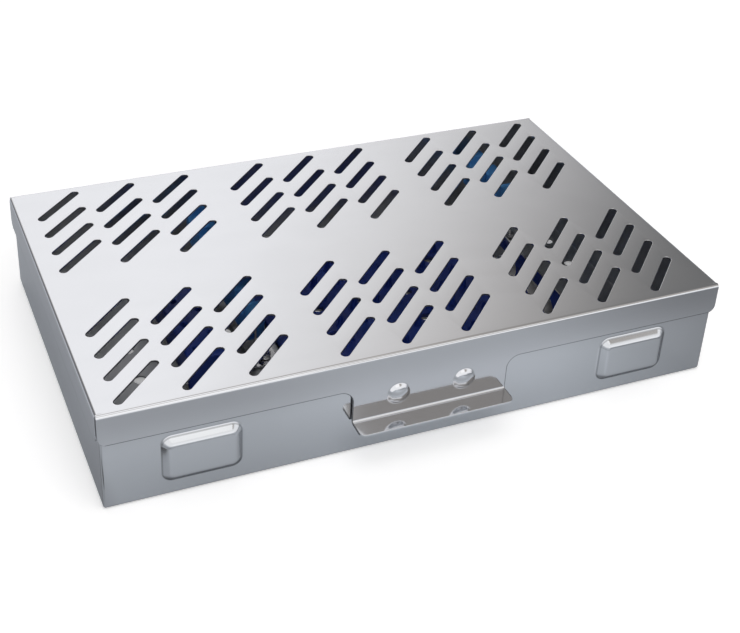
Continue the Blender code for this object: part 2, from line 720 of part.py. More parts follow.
def build_tip_frame():
    """The channel round the tip block, its walls cut back at the feet."""
    half_sheet = RACK_SHEET / 2
    wall_x = TIP_BLOCK_WIDTH / 2 + SEAT_GAP + half_sheet
    radius = BEND_RADIUS - half_sheet
    foot_z = SEAT_Z + half_sheet
    top = SEAT_Z + TIP_WALL_HEIGHT
    left_bend = arc((radius - wall_x, foot_z + radius), radius, HALF_TURN, QUARTER_TURN, BEND_STEPS)
    right_bend = arc((wall_x - radius, foot_z + radius), radius, -QUARTER_TURN, QUARTER_TURN, BEND_STEPS)
    profile = [(-wall_x, top)] + left_bend + right_bend + [(wall_x, top)]
    front = TIP_REAR - TIP_LENGTH
    shape = bmesh.new()
    add_strip(shape, profile, 0, TIP_LENGTH, Matrix.Translation((TIP_X, front, 0)) @ QUARTER_TURN_TO_Y)
    frame = add_part("tip_frame", mesh_from(shape, "tip_frame"), BRUSHED_STEEL)
    thicken(frame, RACK_SHEET, 0)
    ends = bmesh.new()
    reach = wall_x + RACK_SHEET + CUT_OVERRUN
    low_z = foot_z + radius
    foot = TIP_FOOT - SEAT_GAP
    for low_y, high_y in ((front - CUT_OVERRUN, front + foot), (TIP_REAR - foot, TIP_REAR + CUT_OVERRUN)):
        add_box(ends, (TIP_X - reach, low_y, low_z), (TIP_X + reach, high_y, top + CUT_OVERRUN))
    combine(frame, add_cutter("tip_frame_ends", ends), "DIFFERENCE")
    combine(frame, STUD_HOLES, "DIFFERENCE")


def build_tip_block():
    """The silicone block that the tips stand in."""
    bottom = SEAT_Z + RACK_SHEET + SEAT_GAP
    top = bottom + TIP_BLOCK_HEIGHT
    middle_y = TIP_REAR - TIP_LENGTH / 2
    shape = bmesh.new()
    outline = rounded_rectangle(TIP_BLOCK_WIDTH, TIP_BLOCK_LENGTH, TIP_BLOCK_ROUND, BEND_STEPS)
    add_prism(shape, outline, bottom, top, Matrix.Translation((TIP_X, middle_y, 0)))
    bmesh.ops.recalc_face_normals(shape, faces=shape.faces)
    block = add_part("tip_block", mesh_from(shape, "tip_block"), NAVY_SILICONE)
    places = []
    for x in centered_steps(TIP_HOLE_ROWS, TIP_ROW_PITCH):
        for y in centered_steps(TIP_HOLE_COLUMNS, TIP_HOLE_PITCH):
            places.append((TIP_X + x, middle_y + y))
    hole_bottom = top - TIP_HOLE_DEPTH
    holes = round_cutter("tip_holes", places, TIP_HOLE_RADIUS, hole_bottom, top + CUT_OVERRUN, VENT_SIDES)
    combine(block, holes, "DIFFERENCE")


def nut_mesh():
    """One cap nut about its stud's axis: a hexagon, a dome, and a blind bore from below."""
    bottom = SEAT_Z + RACK_SHEET + SEAT_GAP
    bore_top = SEAT_Z + STUD_HEIGHT + SEAT_GAP
    hexagon = bmesh.new()
    across_corners = NUT_ACROSS_FLATS / math.cos(HALF_TURN / FINGER_SIDES) / 2
    add_prism(hexagon, circle(across_corners, FINGER_SIDES), bottom, bottom + NUT_HEX_HEIGHT)
    bmesh.ops.recalc_face_normals(hexagon, faces=hexagon.faces)
    pattern = add_cutter("nut_pattern", hexagon)
    dome_base = bottom + NUT_HEX_HEIGHT - SEAT_GAP
    dome_rise = bore_top + NUT_ROOF - dome_base
    rings = []
    for step in range(BEND_STEPS + 1):
        climb = QUARTER_TURN * step / (BEND_STEPS + 1)
        radius = NUT_DOME_RADIUS * math.cos(climb)
        height = dome_base + dome_rise * math.sin(climb)
        rings.append([(x, y, height) for x, y in circle(radius, ROUND_SIDES)])
    dome = bmesh.new()
    add_loft(dome, rings)
    combine(pattern, add_cutter("nut_dome", dome), "UNION")
    bore_radius = STUD_RADIUS + SEAT_GAP
    bore = round_cutter("nut_bore", [(0, 0)], bore_radius, bottom - CUT_OVERRUN, bore_top, ROUND_SIDES)
    combine(pattern, bore, "DIFFERENCE")
    bpy.context.view_layer.update()
    evaluated = pattern.evaluated_get(bpy.context.evaluated_depsgraph_get())
    return bpy.data.meshes.new_from_object(evaluated)


def build_nuts():
    mesh = nut_mesh()
    for index, (x, y) in enumerate(stud_places()):
        nut = add_part(f"nut_{index + 1}", mesh, POLISHED_STEEL)
        nut.location = (x, y, 0)


def build_mat():
    """The finger mat, from the left rail's foot to the partition."""
    left = LEFT_RAIL_X + RAIL_FOOT + MAT_SIDE_GAP
    right = PARTITION_X - MAT_SIDE_GAP
    half_depth = INNER_HALF_DEPTH - MAT_END_MARGIN
    middle = (left + right) / 2
    top = SEAT_Z + MAT_THICKNESS
    shape = bmesh.new()
    outline = rounded_rectangle(right - left, 2 * half_depth, MAT_CORNER, CORNER_STEPS)
    add_prism(shape, outline, SEAT_Z, top, Matrix.Translation((middle, 0, 0)))
    bmesh.ops.recalc_face_normals(shape, faces=shape.faces)
    mat = add_part("finger_mat", mesh_from(shape, "finger_mat"), NAVY_SILICONE)

    drain_places = []
    for x, y in vent_places():
        inside_x = left + FINGER_MARGIN < x < right - FINGER_MARGIN
        if inside_x and abs(y) < half_depth - FINGER_MARGIN:
            drain_places.append((x, y))
    fingers = bmesh.new()
    clearance = VENT_RADIUS + 2 * FINGER_FOOT_RADIUS
    root_z = top - MAT_THICKNESS / 2
    tip_z = top + FINGER_HEIGHT
    columns = math.ceil((right - left - 2 * FINGER_MARGIN) / FINGER_PITCH)
    rows = math.ceil((2 * half_depth - 2 * FINGER_MARGIN) / FINGER_PITCH)
    for x in centered_steps(columns, FINGER_PITCH):
        for y in centered_steps(rows, FINGER_PITCH):
            finger_x = middle + x
            distances = [math.hypot(finger_x - drain_x, y - drain_y) for drain_x, drain_y in drain_places]
            if min(distances) < clearance:
                continue
            foot = [(finger_x + a, y + b, root_z) for a, b in circle(FINGER_FOOT_RADIUS, FINGER_SIDES)]
            tip = [(finger_x + a, y + b, tip_z) for a, b in circle(FINGER_TIP_RADIUS, FINGER_SIDES)]
            add_loft(fingers, [foot, tip])
    combine(mat, add_cutter("mat_fingers", fingers), "UNION")
    drains = round_cutter("mat_drains", drain_places, VENT_RADIUS, 0, top + CUT_OVERRUN, VENT_SIDES)
    combine(mat, drains, "DIFFERENCE")


clear_scene()
CASE = new_collection("sterilization_case")
CUTTERS = new_collection("cutters")
POLISHED_STEEL = new_material("polished_steel", (0.78, 0.78, 0.80), 1, 0.14)
BRUSHED_STEEL = new_material("brushed_steel", (0.66, 0.66, 0.67), 1, 0.28)
NAVY_SILICONE = new_material("navy_silicone", (0.020, 0.045, 0.22), 0, 0.42)
SKY_SILICONE = new_material("sky_silicone", (0.08, 0.30, 0.72), 0, 0.42)

# Turns X to Y, so that a strip's profile stands across Y, and stands an outline up to face X
QUARTER_TURN_TO_Y = Matrix(((0, 1, 0, 0), (1, 0, 0, 0), (0, 0, 1, 0), (0, 0, 0, 1)))
FACING_X = Matrix(((0, 0, 1, 0), (1, 0, 0, 0), (0, 1, 0, 0), (0, 0, 0, 1)))

LID_AXIS = bpy.data.objects.new("lid_axis", None)
CASE.objects.link(LID_AXIS)
LID_AXIS.location = (0, HINGE_Y, HINGE_Z)
bpy.context.view_layer.update()

STUD_HOLES = stud_hole_cutter("stud_holes")
build_tray()
build_lid(LID_AXIS)
build_hinges(LID_AXIS)
build_rails()
build_partition()
build_tip_frame()
build_tip_block()
build_nuts()
build_mat()
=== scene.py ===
"""A stainless steel sterilization case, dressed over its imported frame: a folded tray with pressed pads,
a slotted lid on two rear hinges, and the silicone and steel rack inside. Metres, +Z up, front at -Y."""

import math

import bmesh
import bpy
import numpy as np
from mathutils import Matrix, Vector
from mathutils.geometry import delaunay_2d_cdt


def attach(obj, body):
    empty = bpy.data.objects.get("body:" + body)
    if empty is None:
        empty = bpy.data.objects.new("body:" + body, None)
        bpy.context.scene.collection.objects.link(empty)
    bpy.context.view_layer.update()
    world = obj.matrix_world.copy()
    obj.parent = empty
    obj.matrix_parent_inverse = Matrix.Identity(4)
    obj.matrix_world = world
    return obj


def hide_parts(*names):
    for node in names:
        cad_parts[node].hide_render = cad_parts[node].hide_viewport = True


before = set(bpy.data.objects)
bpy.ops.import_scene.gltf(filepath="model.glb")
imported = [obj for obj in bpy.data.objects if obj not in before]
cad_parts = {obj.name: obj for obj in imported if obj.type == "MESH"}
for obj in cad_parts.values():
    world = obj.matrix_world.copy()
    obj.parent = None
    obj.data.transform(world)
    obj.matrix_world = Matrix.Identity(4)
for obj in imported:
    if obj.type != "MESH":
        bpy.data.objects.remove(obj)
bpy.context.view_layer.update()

# Studio. The case stands on a plain white table under one large soft box behind it on the left and a
# pale ceiling. Polished steel shows little but what stands round it, so the room is a sky of soft cards.

MM = 0.001


def math_node(tree, operation, first, second=0.0, third=0.0):
    """One sum in a node tree; each input is a number or another node's output."""
    node = tree.nodes.new("ShaderNodeMath")
    node.operation = operation
    for socket, value in zip(node.inputs, (first, second, third)):
        if isinstance(value, (int, float)):
            socket.default_value = value
        else:
            tree.links.new(value, socket)
    return node.outputs[0]


def product(tree, first, *others):
    """All the given shares multiplied together."""
    for other in others:
        first = math_node(tree, "MULTIPLY", first, other)
    return first


def smooth_range(tree, value, low, high, start=0.0, end=1.0):
    """A smooth climb from start to end while value goes from low to high."""
    node = tree.nodes.new("ShaderNodeMapRange")
    node.interpolation_type = "SMOOTHSTEP"
    tree.links.new(value, node.inputs["Value"])
    for name, number in (("From Min", low), ("From Max", high), ("To Min", start), ("To Max", end)):
        node.inputs[name].default_value = number
    return node.outputs["Result"]


def mix_color(tree, share, first, second, blend="MIX"):
    """Goes by share from the first colour to the second, or with MULTIPLY to the product of both; each is a
    colour or an output."""
    node = tree.nodes.new("ShaderNodeMix")
    node.data_type = "RGBA"
    node.blend_type = blend
    for socket, value in ((node.inputs[0], share), (node.inputs[6], first), (node.inputs[7], second)):
        if isinstance(value, tuple):
            socket.default_value = (*value, 1)
        elif isinstance(value, (int, float)):
            socket.default_value = value
        else:
            tree.links.new(value, socket)
    return node.outputs[2]


def placed(name, data):
    """A new object in the scene."""
    thing = bpy.data.objects.new(name, data)
    bpy.context.collection.objects.link(thing)
    return thing


def blank_finish(name):
    """A new finish: the material, its node tree, its shader and the piece's own coordinates."""
    finish = bpy.data.materials.new(name)
    finish.use_nodes = True
    tree = finish.node_tree
    place = tree.nodes.new("ShaderNodeTexCoord").outputs["Object"]
    return finish, tree, tree.nodes["Principled BSDF"], place


studio = bpy.data.worlds.new("studio")
bpy.context.scene.world = studio
studio.use_nodes = True
room = studio.node_tree
compass = room.nodes.new("ShaderNodeSeparateXYZ")
room.links.new(room.nodes.new("ShaderNodeTexCoord").outputs["Generated"], compass.inputs[0])
rightwards, rearwards = compass.outputs["X"], compass.outputs["Y"]
azimuth = math_node(room, "ARCTAN2", rightwards, rearwards)
height = math_node(room, "ARCSINE", compass.outputs["Z"])

# The soft box ends to the right on a slant, and its light runs out softly there. A card hangs high in
# front over a bright strip of wall and comes lower on the left, the walls beside the case are dark, and
# the ceiling closes the room. Azimuth, height and slant are in radians.
slant = math_node(room, "MULTIPLY_ADD", height, 0.5, azimuth)
box_right = smooth_range(room, slant, 0.53, 0.98, 1, 0)
box_left = smooth_range(room, azimuth, -0.50, -0.05)
box_top = smooth_range(room, height, 0.85, 1.05, 1, 0)
box_share = product(room, box_right, box_left, box_top)
ceiling_share = smooth_range(room, height, 1.12, 1.30)
front_share = smooth_range(room, rearwards, -0.45, -0.25, 1, 0)
card_drop = smooth_range(room, rightwards, 0.285, 0.32, 1, 0)
card_foot = smooth_range(room, math_node(room, "MULTIPLY_ADD", card_drop, 0.24, height), 0.71, 0.79)
card_top = smooth_range(room, height, 0.98, 1.08, 1, 0)
card_right = smooth_range(room, rightwards, 0.40, 0.54, 1, 0)
card_share = product(room, card_foot, card_top, card_right, front_share)
horizon_share = smooth_range(room, height, 0.0, 0.26, 1, 0)
glow_share = product(room, smooth_range(room, height, 0.46, 0.56, 1, 0), front_share)
beside_share = smooth_range(room, rearwards, -0.35, 0.05)
right_share = product(room, smooth_range(room, rightwards, 0.34, 0.58), beside_share)
left_share = product(room, smooth_range(room, rightwards, -0.45, -0.05, 1, 0), beside_share)
sky_color = (0.62, 0.585, 0.55)
for share, color in (
        (right_share, (0.25, 0.25, 0.25)), (left_share, (0.26, 0.26, 0.27)),
        (horizon_share, (0.45, 0.465, 0.49)), (glow_share, (1.40, 1.41, 1.43)),
        (card_share, (1.60, 1.60, 1.60)), (ceiling_share, (1.45, 1.45, 1.47)),
        (box_share, (1.42, 1.42, 1.44))):
    sky_color = mix_color(room, share, sky_color, color)
sight = room.nodes.new("ShaderNodeLightPath").outputs["Is Camera Ray"]
sky_color = mix_color(room, sight, sky_color, (1.0, 1.0, 1.0))
room.links.new(sky_color, room.nodes["Background"].inputs["Color"])
room.nodes["Background"].inputs["Strength"].default_value = 1.0

# The table is a flat sheet wide enough to reach past the picture on every side. It glows a little for
# the camera, so that it is white there and keeps the case's shadow.
table_reach = 6.0
table_z = -0.2 * MM
corner_signs = ((-1, -1), (1, -1), (1, 1), (-1, 1))
table_corners = [(x * table_reach, y * table_reach, table_z) for x, y in corner_signs]
table_mesh = bpy.data.meshes.new("table")
table_mesh.from_pydata(table_corners, [], [(0, 1, 2, 3)])
table = placed("table", table_mesh)
white_table, table_tree, table_shader, table_place = blank_finish("white_table")
table_shader.inputs["Roughness"].default_value = 0.9
table_shader.inputs["Specular IOR Level"].default_value = 0.0
table_shader.inputs["Emission Color"].default_value = (1, 1, 1, 1)
rays = table_tree.nodes.new("ShaderNodeLightPath")
mirrored = math_node(
    table_tree, "MAXIMUM", rays.outputs["Is Glossy Ray"], rays.outputs["Is Transmission Ray"])
seen_glow, mirrored_glow = 0.30, 0.08
glow = math_node(table_tree, "MULTIPLY", rays.outputs["Is Camera Ray"], seen_glow)
glow = math_node(table_tree, "MULTIPLY_ADD", mirrored, mirrored_glow, glow)
table_tree.links.new(glow, table_shader.inputs["Emission Strength"])

# Painted shade for the steel's reflections: mirrored rays see the sheet darker and bluer, and darker still
# beside and before the case and at its foot. Each row says along which axis, where the dimming starts,
# where it is full, where it is gone again, and the level where it is full.
spot = table_tree.nodes.new("ShaderNodeSeparateXYZ")
table_tree.links.new(table_place, spot.inputs[0])
tone = 1.0
for axis, start, full, gone, level in (
        ("X", 0.0, -0.08, -0.28, 0.82), ("X", -0.135, -0.147, -0.28, 0.70),
        ("X", 0.06, 0.19, 0.42, 0.42), ("Y", -0.120, -0.148, -0.30, 0.76),
        ("Y", -0.128, -0.090, -0.03, 0.80)):
    flip = 1 if start < full else -1
    away = math_node(table_tree, "MULTIPLY", spot.outputs[axis], flip)
    share = product(table_tree, smooth_range(table_tree, away, flip * start, flip * full),
                    smooth_range(table_tree, away, flip * full, flip * gone, 1, 0))
    tone = product(table_tree, tone, math_node(table_tree, "MULTIPLY_ADD", share, level - 1, 1.0))

# A painted shadow before the left end of the front, seen only in the steel, in the end slope of the left pad.
painted_shadow_loss = 0.80
painted_shadow_patch = 1.0
for axis, low, high, start, end in (
        ("X", -0.175, -0.165, 0, 1), ("X", -0.1445, -0.1415, 1, 0),
        ("Y", -0.116, -0.108, 0, 1), ("Y", -0.103, -0.100, 1, 0)):
    painted_shadow_patch = product(table_tree, painted_shadow_patch, smooth_range(table_tree, spot.outputs[axis], low, high, start, end))
tone = product(table_tree, tone, math_node(table_tree, "MULTIPLY_ADD", painted_shadow_patch, -painted_shadow_loss, 1.0))
# The painted shade goes only into the colour that mirrored rays see; other rays see plain white 0.93.
mirrored_painted_shade = mix_color(table_tree, tone, (0.0, 0.0, 0.0), (0.79, 0.84, 0.905))
table_tone = mix_color(table_tree, mirrored, (0.93, 0.93, 0.93), mirrored_painted_shade)
table_tree.links.new(table_tone, table_shader.inputs["Base Color"])
table_mesh.materials.append(white_table)

bpy.context.scene.view_settings.view_transform = "Standard"
camera = placed("camera", bpy.data.cameras.new("camera"))
camera.data.sensor_fit = "HORIZONTAL"
camera.data.sensor_width = 36
camera.data.lens = 66.166
camera.data.shift_x = 0.01616
camera.data.shift_y = -0.13001
camera.data.clip_start = 0.01
camera.matrix_world = Matrix((
    (0.922526, 0.160751, -0.350863, -0.222566),
    (-0.383567, 0.482456, -0.787472, -0.504376),
    (0.042689, 0.861043, 0.506737, 0.382849),
    (0, 0, 0, 1),
))
bpy.context.scene.camera = camera

# Tray. One blank of 1 mm polished stainless sheet, folded up on four sides and welded and ground along
# the upright corners. Two pads and the two snap domes are pressed out of its front, the floor is punched.

tray_half = np.array((143.5, 89.5)) * MM
tray_height = 47.1 * MM
tray_sheet = 1.0 * MM
floor_bend = 1.6 * MM
tray_corner = 1.0 * MM
sheared_edge = 0.15 * MM
pad_places = ((-102 * MM, 18.85 * MM), (102 * MM, 18.85 * MM))
pad_half = np.array((18.0, 12.15)) * MM
pad_corner = 5.2 * MM
pad_rise = 2.8 * MM
dome_places = ((-15.5 * MM, 27.3 * MM), (15.5 * MM, 27.3 * MM))
tray_dome_radius = 4.0 * MM
tray_dome_rise = 1.3 * MM
vent_radius = 3.0 * MM
vents_x = np.arange(-132, 133, 24) * MM
vents_y = np.arange(-60, 61, 24) * MM
stud_places = np.array([
    (-49.5, -16), (-49.5, 68), (112.5, 45), (112.5, 76), (96.5, -78), (96.5, 22), (-80, -38), (-80, 56),
]) * MM
stud_room = 6.0 * MM

# A bend or a pressed form starts with a narrow level strip, so that it can't pull the shading of the
# large flat face beside it.
collar = 0.35 * MM


def arc(center, radius, start, sweep, steps):
    """Points at equal angles round a centre, from start over sweep, both in degrees: centre plus radius
    times (cos, sin)."""
    angles = np.radians(start + sweep * np.linspace(0, 1, steps + 1))
    return np.column_stack((center[0] + radius * np.cos(angles), center[1] + radius * np.sin(angles)))


def circle(radius, steps):
    """A closed ring of points about zero."""
    return arc((0, 0), radius, 0, 360, steps)[:-1]


def rounded(half, corner, steps):
    """A rectangle of these half sizes: four quarter circles, one after another."""
    centers = (np.asarray(half) - corner) * np.array([(1, 1), (-1, 1), (-1, -1), (1, -1)])
    quarters = [arc(center, corner, 90 * turn, 90, steps) for turn, center in enumerate(centers)]
    return np.vstack(quarters)


def crossings(xs, ys):
    """Every pair of an x and a y."""
    return np.stack(np.meshgrid(xs, ys), axis=-1).reshape(-1, 2)


def level_at(z):
    """Carries (u, v) points to (u, v, z), on a level plane."""
    return lambda flat: np.column_stack((flat, np.full(len(flat), z)))


def side_at(x):
    """Carries (u, v) points to (x, u, v), on an upright plane that faces along X."""
    return lambda flat: np.column_stack((np.full(len(flat), x), flat))


def front_at(y):
    """Carries (u, v) points to (u, y, v), on an upright plane that faces along Y; a height stands out
    towards -Y."""
    def place(flat, height=0.0):
        return np.column_stack((flat[:, 0], np.full(len(flat), y - height), flat[:, 1]))
    return place


def facing(points, faces, toward):
    """Winds the faces so that the sum of their normals points toward the given direction."""
    spokes = points[faces[:, 1:]] - points[faces[:, :1]]
    normals = np.cross(spokes[:, 0], spokes[:, 1]) + np.cross(spokes[:, 1], spokes[:, -1])
    if normals.sum(axis=0) @ np.asarray(toward, dtype=float) < 0:
        faces = faces[:, ::-1]
    return points, faces


def quads_between(rows, columns, closed):
    """The corner numbers of the quads in a grid of points; closed joins the last column to the first."""
    index = np.arange(rows * columns).reshape(rows, columns)
    if closed:
        index = np.column_stack((index, index[:, :1]))
    quads = np.stack((index[:-1, :-1], index[:-1, 1:], index[1:, 1:], index[1:, :-1]), axis=-1)
    return quads.reshape(-1, 4)


def grid(points, toward, closed=False):
    """A surface of quads over rows and columns of points."""
    return facing(points.reshape(-1, 3), quads_between(*points.shape[:2], closed), toward)


def plate(outline, holes, place, toward):
    """A flat face with holes: Delaunay triangles between the outline and the holes, without those that have
    all three corners on one hole. place carries the (u, v) points to (x, y, z)."""
    loops = [outline] + list(holes)
    sizes = [len(loop) for loop in loops]
    flat = np.vstack(loops)
    owner = np.repeat(np.arange(len(loops)), sizes)
    starts = np.cumsum([0] + sizes[:-1])
    index = np.arange(len(flat))
    after = index + 1
    after[starts + np.array(sizes) - 1] = starts
    edges = np.column_stack((index, after)).tolist()
    found = delaunay_2d_cdt([Vector(point) for point in flat.tolist()], edges, [], 1, 1e-9)
    origin = np.array([origins[0] for origins in found[3]])
    triangles = origin[np.array(found[2])]
    owners = owner[triangles]
    inside_hole = (owners[:, 0] > 0) & (owners[:, 0] == owners[:, 1]) & (owners[:, 1] == owners[:, 2])
    return facing(place(flat), triangles[~inside_hole], toward)


def pressing(outline_at, profile, place, toward):
    """A form pressed out of a sheet: a flat collar, the outline drawn in by each inset of the profile and
    raised by its height, then a flat crown. place carries (u, v) and a height to (x, y, z)."""
    profile = np.vstack(([(-collar, 0)], profile))
    rings = np.stack([place(outline_at(inset), height) for inset, height in profile])
    inset, height = profile[-1]
    crown = plate(outline_at(inset), [], lambda flat: place(flat, height), toward)
    return [grid(rings, toward, closed=True), crown]


def lean_profile(leans, insets, rise):
    """(inset, height) pairs: the height is the running sum of the tangent of the lean over the inset, and
    is scaled to end at rise."""
    slopes = np.tan(leans)
    steps = np.diff(insets) * (slopes[1:] + slopes[:-1]) / 2
    heights = np.concatenate(([0], np.cumsum(steps)))
    return np.column_stack((insets, heights * rise / heights[-1]))


def joined(name, patches):
    """One mesh from patches of points and faces, with shared points welded."""
    points = np.vstack([patch_points for patch_points, patch_faces in patches])
    shift = np.cumsum([0] + [len(patch_points) for patch_points, patch_faces in patches[:-1]])
    faces = []
    for (patch_points, patch_faces), start in zip(patches, shift):
        faces += (patch_faces + start).tolist()
    mesh = bpy.data.meshes.new(name)
    mesh.from_pydata(points.tolist(), [], faces)
    shared_within = 0.002 * MM
    shape = bmesh.new()
    shape.from_mesh(mesh)
    bmesh.ops.remove_doubles(shape, verts=shape.verts, dist=shared_within)
    shape.to_mesh(mesh)
    shape.free()
    return mesh


def finished(name, mesh, finish, body, node, sheet=None, edge=None, offset=-1):
    """Makes the mesh a piece on its body in place of the CAD node. A sheet gets its thickness behind its
    face, or with offset 0 to both sides of it, and cut edges are broken by a small round."""
    piece = placed(name, mesh)
    mesh.materials.append(finish)
    mesh.polygons.foreach_set("use_smooth", [True] * len(mesh.polygons))
    if sheet:
        thickness = piece.modifiers.new("sheet", "SOLIDIFY")
        thickness.thickness = sheet
        thickness.offset = offset
        thickness.use_even_offset = True
    if edge:
        broken = piece.modifiers.new("broken_edges", "BEVEL")
        broken.width = edge
        broken.segments = 2
        broken.limit_method = "ANGLE"
        broken.angle_limit = math.radians(55)
        broken.use_clamp_overlap = False
    flats = piece.modifiers.new("flats", "WEIGHTED_NORMAL")
    flats.keep_sharp = True
    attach(piece, body)
    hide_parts(node)
    return piece


def noise(tree, place, scale, detail, stretch=(1, 1, 1)):
    """Soft random spots; a stretch below 1 draws them out along its axis."""
    mapping = tree.nodes.new("ShaderNodeMapping")
    mapping.inputs["Scale"].default_value = stretch
    tree.links.new(place, mapping.inputs["Vector"])
    texture = tree.nodes.new("ShaderNodeTexNoise")
    texture.inputs["Scale"].default_value = scale
    texture.inputs["Detail"].default_value = detail
    tree.links.new(mapping.outputs["Vector"], texture.inputs["Vector"])
    return texture.outputs["Fac"]


def lifted(tree, shader, height):
    """Shades the surface as if it stood out by height, in metres."""
    bump = tree.nodes.new("ShaderNodeBump")
    bump.inputs["Strength"].default_value = 1.0
    bump.inputs["Distance"].default_value = 1.0
    tree.links.new(height, bump.inputs["Height"])
    tree.links.new(bump.outputs["Normal"], shader.inputs["Normal"])


def steel_finish(name, color, low, high, grain_depth, seams=None, dulling_and_painted_shade=None):
    """Stainless sheet. Fine rolling grain lies along X, slow haze and faint wipe marks change the roughness,
    and where seams gives the half sizes of a box, a ground weld runs up its corners. The last argument
    gives (share, tone, dullness) for places that are duller, or darkened in the base colour as painted shade."""
    finish, tree, shader, place = blank_finish(name)
    shader.inputs["Metallic"].default_value = 1.0
    shader.inputs["Specular Tint"].default_value = (0.78, 0.78, 0.79, 1)
    axes = tree.nodes.new("ShaderNodeSeparateXYZ")
    tree.links.new(place, axes.inputs[0])
    haze = noise(tree, place, 22, 3)
    wipes = noise(tree, place, 60, 3, (0.6, 1.4, 1.4))
    grain = noise(tree, place, 1800, 2, (0.02, 1, 1))
    cloud = math_node(tree, "MULTIPLY_ADD", haze, 0.6, math_node(tree, "MULTIPLY", wipes, 0.4))
    roughness = smooth_range(tree, cloud, 0.35, 0.68, low, high)
    wiped = tuple(0.985 * part for part in color)
    shade = mix_color(tree, smooth_range(tree, wipes, 0.3, 0.75), color, wiped)
    height = math_node(tree, "MULTIPLY", grain, grain_depth)
    if seams is not None:
        seam_inset, seam_depth = 0.9 * MM, 0.08 * MM
        across = math_node(tree, "SUBTRACT", math_node(tree, "ABSOLUTE", axes.outputs["X"]), float(seams[0]))
        along = math_node(tree, "SUBTRACT", math_node(tree, "ABSOLUTE", axes.outputs["Y"]), float(seams[1]))
        off_line = math_node(tree, "ABSOLUTE", math_node(tree, "ADD", along, seam_inset))
        line = smooth_range(tree, off_line, 0.10 * MM, 0.28 * MM, 1, 0)
        seam = product(tree, line, smooth_range(tree, across, -0.8 * MM, -0.3 * MM))
        height = math_node(tree, "SUBTRACT", height, math_node(tree, "MULTIPLY", seam, seam_depth))
        shade = mix_color(tree, seam, shade, (0.22, 0.22, 0.23))
        roughness = math_node(tree, "MULTIPLY_ADD", seam, 0.25, roughness)
    # Painted shade: a tone below 1 darkens the base colour in place of shade.
    for share, tone, dullness in dulling_and_painted_shade(tree, axes) if dulling_and_painted_shade else ():
        darker = mix_color(tree, share, (1.0, 1.0, 1.0), (tone, tone, tone))
        shade = mix_color(tree, 1.0, shade, darker, "MULTIPLY")
        roughness = math_node(tree, "MULTIPLY_ADD", share, dullness, roughness)
    lifted(tree, shader, height)
    tree.links.new(shade, shader.inputs["Base Color"])
    tree.links.new(roughness, shader.inputs["Roughness"])
    return finish


def between(tree, value, low, high, soft):
    """1 between two values, with soft ends."""
    climb = smooth_range(tree, value, low - soft, low + soft)
    return product(tree, climb, smooth_range(tree, value, high - soft, high + soft, 1, 0))


def inside_share(tree, axes, half):
    """1 inside the walls of these half sizes, changing over in the middle of the sheet."""
    share = 1.0
    for axis, reach in zip(("X", "Y"), half):
        out = math_node(tree, "ABSOLUTE", axes.outputs[axis])
        share = product(tree, share, smooth_range(tree, out, reach - 0.6 * MM, reach - 0.4 * MM, 1, 0))
    return share


def tray_dulling_and_painted_shade(tree, axes):
    """The pads' drawn foot and slopes, duller and darkened as painted shade; painted shade on their lower
    slopes and along the foot of the walls; and the duller inside. out is the distance before the front
    wall."""
    height = axes.outputs["Z"]
    out = math_node(tree, "SUBTRACT", -float(tray_half[1]), axes.outputs["Y"])
    # Painted shade: the darker tones stand in for shade on the pads' foot and slopes, under the pads and
    # along the walls' foot; the pads' foot and slopes are also duller.
    pad_foot = between(tree, out, 0.25 * MM, 0.70 * MM, 0.12 * MM)
    pad_slope = between(tree, out, 0.70 * MM, 2.40 * MM, 0.2 * MM)
    low_slope = product(tree, between(tree, out, 0.40 * MM, 2.70 * MM, 0.2 * MM),
                        smooth_range(tree, height, 10.2 * MM, 11.8 * MM, 1, 0))
    wall_foot = smooth_range(tree, height, 0.55 * MM, 0.9 * MM, 1, 0)
    above_floor = smooth_range(tree, height, 0.4 * MM, 0.6 * MM)
    inside = product(tree, inside_share(tree, axes, tray_half), above_floor)
    return (
        (pad_foot, 0.62, 0.08), (pad_slope, 0.90, 0.03), (low_slope, 0.50, 0.08), (wall_foot, 0.45, 0.10),
        (inside, 1.0, 0.24),
    )


def pad_outline(inset):
    """The pad's outline drawn in, with corners that tighten more slowly than it shrinks."""
    return rounded(pad_half - inset, pad_corner - 0.8 * inset, 12)


tray_steel = steel_finish("tray_steel", (0.575, 0.585, 0.60), 0.08, 0.12, 0.5e-6, tray_half, tray_dulling_and_painted_shade)

vent_places = crossings(vents_x, vents_y)
stud_distance = np.linalg.norm(vent_places[:, None] - stud_places, axis=2).min(axis=1)
vent_places = vent_places[stud_distance > stud_room]
vent_holes = [circle(vent_radius, 24) + place for place in vent_places]
floor_outline = np.array([(1, 1), (-1, 1), (-1, -1), (1, -1)]) * (tray_half - floor_bend - collar)
tray_patches = [plate(floor_outline, vent_holes, level_at(0.0), (0, 0, -1))]

wall_foot = floor_bend + collar
bend_turns = np.linspace(0, math.pi / 2, 9)
bend_insets = np.concatenate(([wall_foot], floor_bend * (1 - np.sin(bend_turns)), [0]))
bend_heights = np.concatenate(([0], floor_bend * (1 - np.cos(bend_turns)), [wall_foot]))
bend_rings = np.stack([
    level_at(height)(rounded(tray_half - inset, max(tray_corner - inset, 0), 6))
    for inset, height in zip(bend_insets, bend_heights)
])
tray_patches.append(grid(bend_rings, (0, 0, -1), closed=True))
corner_quarters = rounded(tray_half, tray_corner, 6).reshape(4, -1, 2)
for quarter, direction in zip(corner_quarters, ((1, 1, 0), (-1, 1, 0), (-1, -1, 0), (1, -1, 0))):
    strip = np.stack([level_at(z)(quarter) for z in (wall_foot, tray_height)])
    tray_patches.append(grid(strip, direction))

